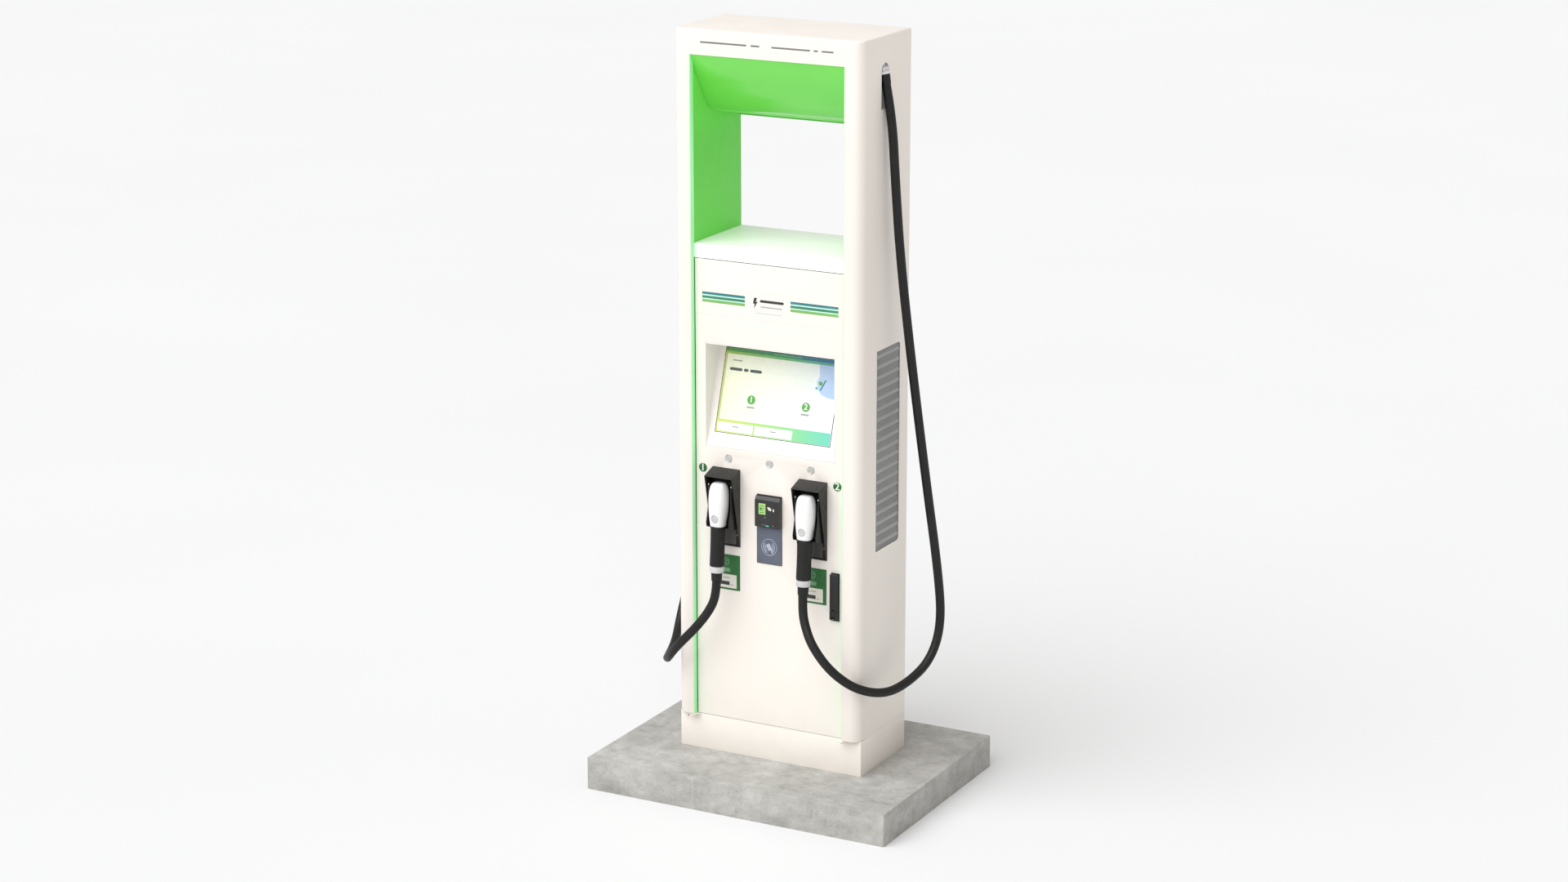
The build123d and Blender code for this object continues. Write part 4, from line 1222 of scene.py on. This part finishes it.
def connector(number, x):
    """Head, button, grip, ring and strain relief of a parked connector."""
    body = f"connector_{number}"
    place = at(x, *SEAT) @ Matrix.Rotation(radians(-PARK_TILT), 4, "X")
    part = bmesh.new()
    rings = []
    for height, width, front, back in HEAD_SECTIONS:
        rings.append([part.verts.new((px, py, height)) for px, py in head_outline(width, front, back)])
    skin(part, rings)
    part.faces.new(rings[0])
    part.faces.new(rings[-1])
    bmesh.ops.recalc_face_normals(part, faces=part.faces)
    head = Shape()
    head.take(part, SHELL, place)
    shell = head.piece(f"connector_head_{number}", None, "connector_white")
    modify(shell, "SUBSURF", levels=1, render_levels=1)
    well = Shape()
    quarter = Matrix.Rotation(pi / 2, 4, "X")
    well.lathe(rect(0, 12.4, -6, 10), SHELL, place @ at(0, -24.6, -44) @ quarter, 40)
    boolean_cut(shell, [cutter_from(well)])
    finish_piece(shell, body, (f"connector_shell_{number}",))

    button = Shape()
    cap = place @ at(0, -20.2, -44) @ quarter
    button.lathe([(0, -2), (11.7, -2), (11.7, 3.6), (11.1, 4.6), (9.8, 4.9), (0, 4.4)], BUTTON, cap)
    button.lathe([(8.4, 4.5), (8.4, 5.0), (7.6, 5.0), (7.6, 4.5)], SHELL_GREY, cap)
    stands_for = (f"connector_button_{number}",)
    button.piece(f"release_pad_{number}", f"release_button_{number}", "connector_grey", stands_for)

    grip = Shape()
    top = -71
    profile = [(0, top + 2), (20.4, top + 2), (21.6, top), (22.9, top - 2.5), (23.3, top - 12)]
    profile += [(22.8, top - 40), (22.7, top - 80), (23.2, top - 112), (23.2, top - 122), (22.6, top - 125)]
    profile += [(21.2, top - 126), (0, top - 126)]
    grip.lathe(profile, GRIP, place, 56)
    for sign in (-1, 1):
        low, high = mirrored(sign, 22.6, 23.35)
        grip.box(low, high, -0.5, 0.5, top - 121, top - 6, GRIP, 0.2, 1, place)
    grip.piece(f"connector_grip_sleeve_{number}", body, "connector_black", (f"connector_grip_{number}",))

    low = top - 126
    ring = Shape()
    profile = [(14, low), (21.0, low), (22.2, low - 1.2), (22.4, low - 4), (22.4, low - 16)]
    profile += [(22.0, low - 19), (20.8, low - 20), (14, low - 20)]
    ring.lathe(profile, SHELL_GREY, place, 56)
    ring.piece(f"connector_ring_{number}", body, "connector_grey", (f"connector_collar_{number}",))
    relief = Shape()
    profile = [(13.8, low - 19), (17.4, low - 19)]
    profile += [(17.4, low - 26), (17.0, low - 34), (16.6, low - 46), (15.4, low - 48), (13.9, low - 48)]
    relief.lathe(profile, GRIP, place, 48)
    return relief.piece(f"strain_relief_{number}", body, "cable_rubber")


holsters()
for number, x in HOLSTERS:
    sleeve = connector(number, x)
    tail, lower, meeting = cord_tails[number]

# ---- equipment and hidden parts --------------------------------------------------
PLAIN = {
    "anchor_bolts": GALVANISED,
    "rear_screws": LOCK,
    "mounting_plate": GALVANISED,
    "hinge_pins": LOCK,
    "door_gasket": SEAL,
    "connector_nose_1": GRIP,
    "connector_nose_2": GRIP,
    "fan_rotor_right": BLACK,
    "fan_rotor_left": BLACK,
}
for name, mat in PLAIN.items():
    data = NODES[name].data
    data.materials.clear()
    data.materials.append(mat)

refined("power_modules", "rectifier_cases", EQUIPMENT, 2.0, 2)
refined("main_breaker", "breaker_case", BLACK, 1.6, 2)
refined("breaker_toggle", "breaker_lever", SHELL_GREY, 0.8, 2)
refined("contactors", "contactor_cases", BLACK, 1.4, 2)
refined("control_board", "board", BOARD, 0.3, 1)
refined("coolant_unit", "coolant_tank", EQUIPMENT, 1.6, 2)
refined("fan_shrouds", "fan_frames", BLACK, 1.0, 2)
refined("display_unit", "display_case", EQUIPMENT, 1.5, 2)


MODULES, MODULE_FOOT, MODULE_PITCH = 4, 262, 104


def module_fronts():
    """Front plates of the rectifiers: air slots, a pull handle, lamps and screws."""
    shape = Shape()
    front = facing(0, -30, 0)
    for i in range(MODULES):
        z = MODULE_FOOT + MODULE_PITCH * i
        shape.slab(rounded(-201, 201, z + 3, z + 95, 3), 0.0, 2.4, EQUIPMENT, front, 0.6)
        for row in range(7):
            low = z + 20 + 8 * row
            for x0, x1 in ((-150, -74), (-66, 10)):
                shape.slab(rounded(x0, x1, low, low + 3.4, 1.6), 2.3, 2.7, DARK, front)
        for x in (46, 154):
            shape.lathe([(5, 2), (5, 24), (0, 24)], BLACK, front @ at(x, z + 49), 24)
        shape.box(40, 160, -57, -51, z + 43, z + 55, BLACK, 2.5, 3)
        for x, mat in ((176, LEAF), (186, UI_DISC)):
            shape.lathe([(2.6, 2), (2.6, 3.4), (0, 4.2)], mat, front @ at(x, z + 76), 20)
        for x in (-192, 192):
            for up in (12, 86):
                screw = [(4, 2.2), (4, 3.6), (2.6, 4.8), (0, 5)]
                shape.lathe(screw, LOCK, front @ at(x, z + up), 20)
        shape.slab(rounded(-190, -160, z + 30, z + 68, 2), 2.3, 2.8, INK_PALE, front)
    shape.piece("module_fronts", "cabinet", "galvanised_steel")


def switchgear_details():
    """Lids, terminals and links on the breaker and the contactors."""
    shape = Shape()
    front = facing(0, 70, 0)
    for z0, z1 in ((1206, 1238), (1342, 1374)):
        shape.slab(rounded(-186, -74, z0, z1, 3), 0.0, 5, EQUIPMENT, front, 1.2, 2)
        for x in (-166, -130, -94):
            well = front @ at(x, (z0 + z1) / 2)
            shape.lathe([(9, 4.8), (9, 6.2), (6.4, 6.6), (6.4, 5.6), (0, 5.4)], COPPER, well, 28)
    shape.slab(rounded(-184, -148, 1272, 1308, 2), 0.0, 0.8, INK_PALE, front, 0.3)
    front = facing(0, 60, 0)
    for x in (20, 120):
        shape.slab(rounded(x + 8, x + 72, 1236, 1304, 4), 0.0, 9, EQUIPMENT, front, 1.6, 3)
        shape.slab(rounded(x + 24, x + 56, 1256, 1284, 2), 8.8, 9.6, INK_PALE, front, 0.3)
        for dx in (18, 40, 62):
            for z in (1221, 1319):
                place = front @ at(x + dx, z)
                shape.lathe([(7.5, -1), (7.5, 2.4), (5, 3.2), (0, 3.0)], COPPER, place, 24)
    for y in (90, 120):
        shape.box(20, 200, y, y + 6, 1345, 1375, COPPER, 0.8, 2)
        for x in (40, 110, 180):
            shape.lathe([(8, -0.5), (8, 4.5), (0, 4.5)], GALVANISED, facing(x, y, 1360), 6)
    shape.piece("switchgear_details", "cabinet", "equipment_grey")


def board_parts():
    """Chips, capacitors, plugs and a finned heat sink on the control board."""
    shape = Shape()
    front = facing(0, 112, 0)
    for x in (-140, -60, 40, 120):
        shape.slab(rounded(x - 19, x + 19, 1501, 1559, 1.5), 0.0, 2.2, BLACK, front, 0.5)
        shape.slab(disc(x - 13, 1551, 2, 20), 2.1, 2.4, EQUIPMENT, front)
    face = facing(0, 128, 0)
    for i in range(9):
        shape.slab(rounded(-170 + 42 * i, -146 + 42 * i, 1447, 1463, 1), 0.0, 11, BEZEL, face, 0.6)
        for k in range(4):
            x = -167 + 42 * i + 6 * k
            shape.slab(rounded(x - 1.6, x + 1.6, 1451, 1459, 0.5), 10.9, 11.5, COPPER, face)
    for x, z in ((-100, 1530), (-100, 1500), (-16, 1538), (-16, 1504), (82, 1532), (158, 1530), (158, 1500)):
        can = [(9, 0), (9, 19), (8.2, 20.2), (7, 20), (0, 20)]
        shape.lathe(can, LOCK, face @ at(x, z), 28)
    for k in range(9):
        shape.box(-150 + 11 * k, -147 + 11 * k, 102, 128, 1574, 1610, EQUIPMENT, 0.5, 1)
    for k in range(6):
        mat = (UI_DISC, LEAF, MINI)[k % 3]
        shape.lathe([(2.4, 0), (2.4, 3.4), (0, 5)], mat, face @ at(40 + 16 * k, 1600), 16)
    shape.piece("board_parts", "cabinet", "circuit_board")


def coolant_fittings():
    """Filler cap, level window, pump nose and hose clips."""
    shape = Shape()
    cap = [(22.5, 1074), (26, 1074), (26, 1090), (24, 1093), (0, 1093)]
    shape.lathe(cap, BLACK, at(-105, 93), 40)
    front = facing(0, 40, 0)
    shape.slab(rounded(-48, -34, 880, 1030, 6), 0.0, 2, UI_BLUE, front, 0.6)
    shape.slab(rounded(-170, -80, 930, 990, 3), 0.0, 0.8, INK_PALE, front, 0.3)
    pump = facing(70, 50, 910)
    shape.lathe([(34, 0), (34, 5), (26, 9), (12, 10), (12, 26), (0, 26)], EQUIPMENT, pump, 48)
    for z in (968, 1032):
        shape.lathe(rect(36.2, 38, z, z + 4), GALVANISED, at(70, 98), 40)
    shape.piece("coolant_fittings", "cabinet", "equipment_grey")


# Hoses and looms inside the cabinet: radius, finish and the points they pass.
LOOMS = (
    (8, RUBBER, (
        (70, 25, 910), (70, 0, 900), (20, -4, 850), (-60, 0, 830), (-110, 60, 830), (-110, 90, 852),
    )),
    (7, LOOM_ORANGE, (
        (-166, 62, 1214), (-168, 40, 1170), (-206, 60, 1120), (-214, 110, 900), (-206, 120, 700),
    )),
    (7, RUBBER, (
        (-130, 62, 1214), (-134, 34, 1160), (-190, 40, 1100), (-220, 90, 900), (-214, 100, 690),
    )),
    (6, LOOM_ORANGE, (
        (38, 58, 1221), (40, 40, 1176), (110, 56, 1136), (184, 100, 1000), (182, 118, 800), (172, 124, 690),
    )),
    (6, RUBBER, (
        (160, 58, 1221), (160, 36, 1180), (190, 60, 1120), (200, 110, 900), (190, 120, 690),
    )),
    (5, BLACK, (
        (-130, 64, 1366), (-130, 50, 1400), (-60, 60, 1420), (0, 110, 1430), (20, 126, 1452),
    )),
)


def looms():
    for number, (radius, mat, points) in enumerate(LOOMS, start=1):
        obj = tube(f"loom_{number}", spline_line(points), radius * MM, mat, 16)
        finish_piece(obj, "cabinet")


module_fronts()
switchgear_details()
board_parts()
coolant_fittings()
looms()

# ---- floor and light -------------------------------------------------------------
floor_mesh = bpy.data.meshes.new("floor")
reach = 90
floor_mesh.from_pydata([(x, y, 0) for x, y in rect(-reach, reach, -reach, reach)], [], [(0, 1, 2, 3)])
floor = bpy.data.objects.new("floor", floor_mesh)
floor_finish = Finish("floor", Roughness=0.8)
floor_tones = [(0.3, rgb(232, 232, 232)), (0.7, rgb(234, 234, 234))]
floor_finish.colour(floor_finish.ramp(floor_finish.noise(0.4, 2), floor_tones))
floor_mesh.materials.append(floor_finish.mat)
scene.collection.objects.link(floor)

world = bpy.data.worlds.new("studio")
world.use_nodes = True
scene.world = world
sky = world.node_tree.nodes["Background"]
sky.inputs["Color"].default_value = (1.0, 0.985, 0.97, 1)
sky.inputs["Strength"].default_value = 0.55

# One soft sun. Azimuth 0 is the user's side and 90 their right.
SUN_AZIMUTH, SUN_HEIGHT, SUN_SPREAD = radians(-18), radians(53), radians(62)
sun_data = bpy.data.lights.new("key", "SUN")
sun_data.energy = 2.5
sun_data.angle = SUN_SPREAD
sun_data.color = (0.985, 1.0, 1.02)
sun = bpy.data.objects.new("key", sun_data)
flat = cos(SUN_HEIGHT)
towards = Vector((sin(SUN_AZIMUTH) * flat, -cos(SUN_AZIMUTH) * flat, sin(SUN_HEIGHT)))
sun.rotation_mode = "QUATERNION"
sun.rotation_quaternion = towards.to_track_quat("Z", "Y")
scene.collection.objects.link(sun)
scene.view_settings.view_transform = "Standard"
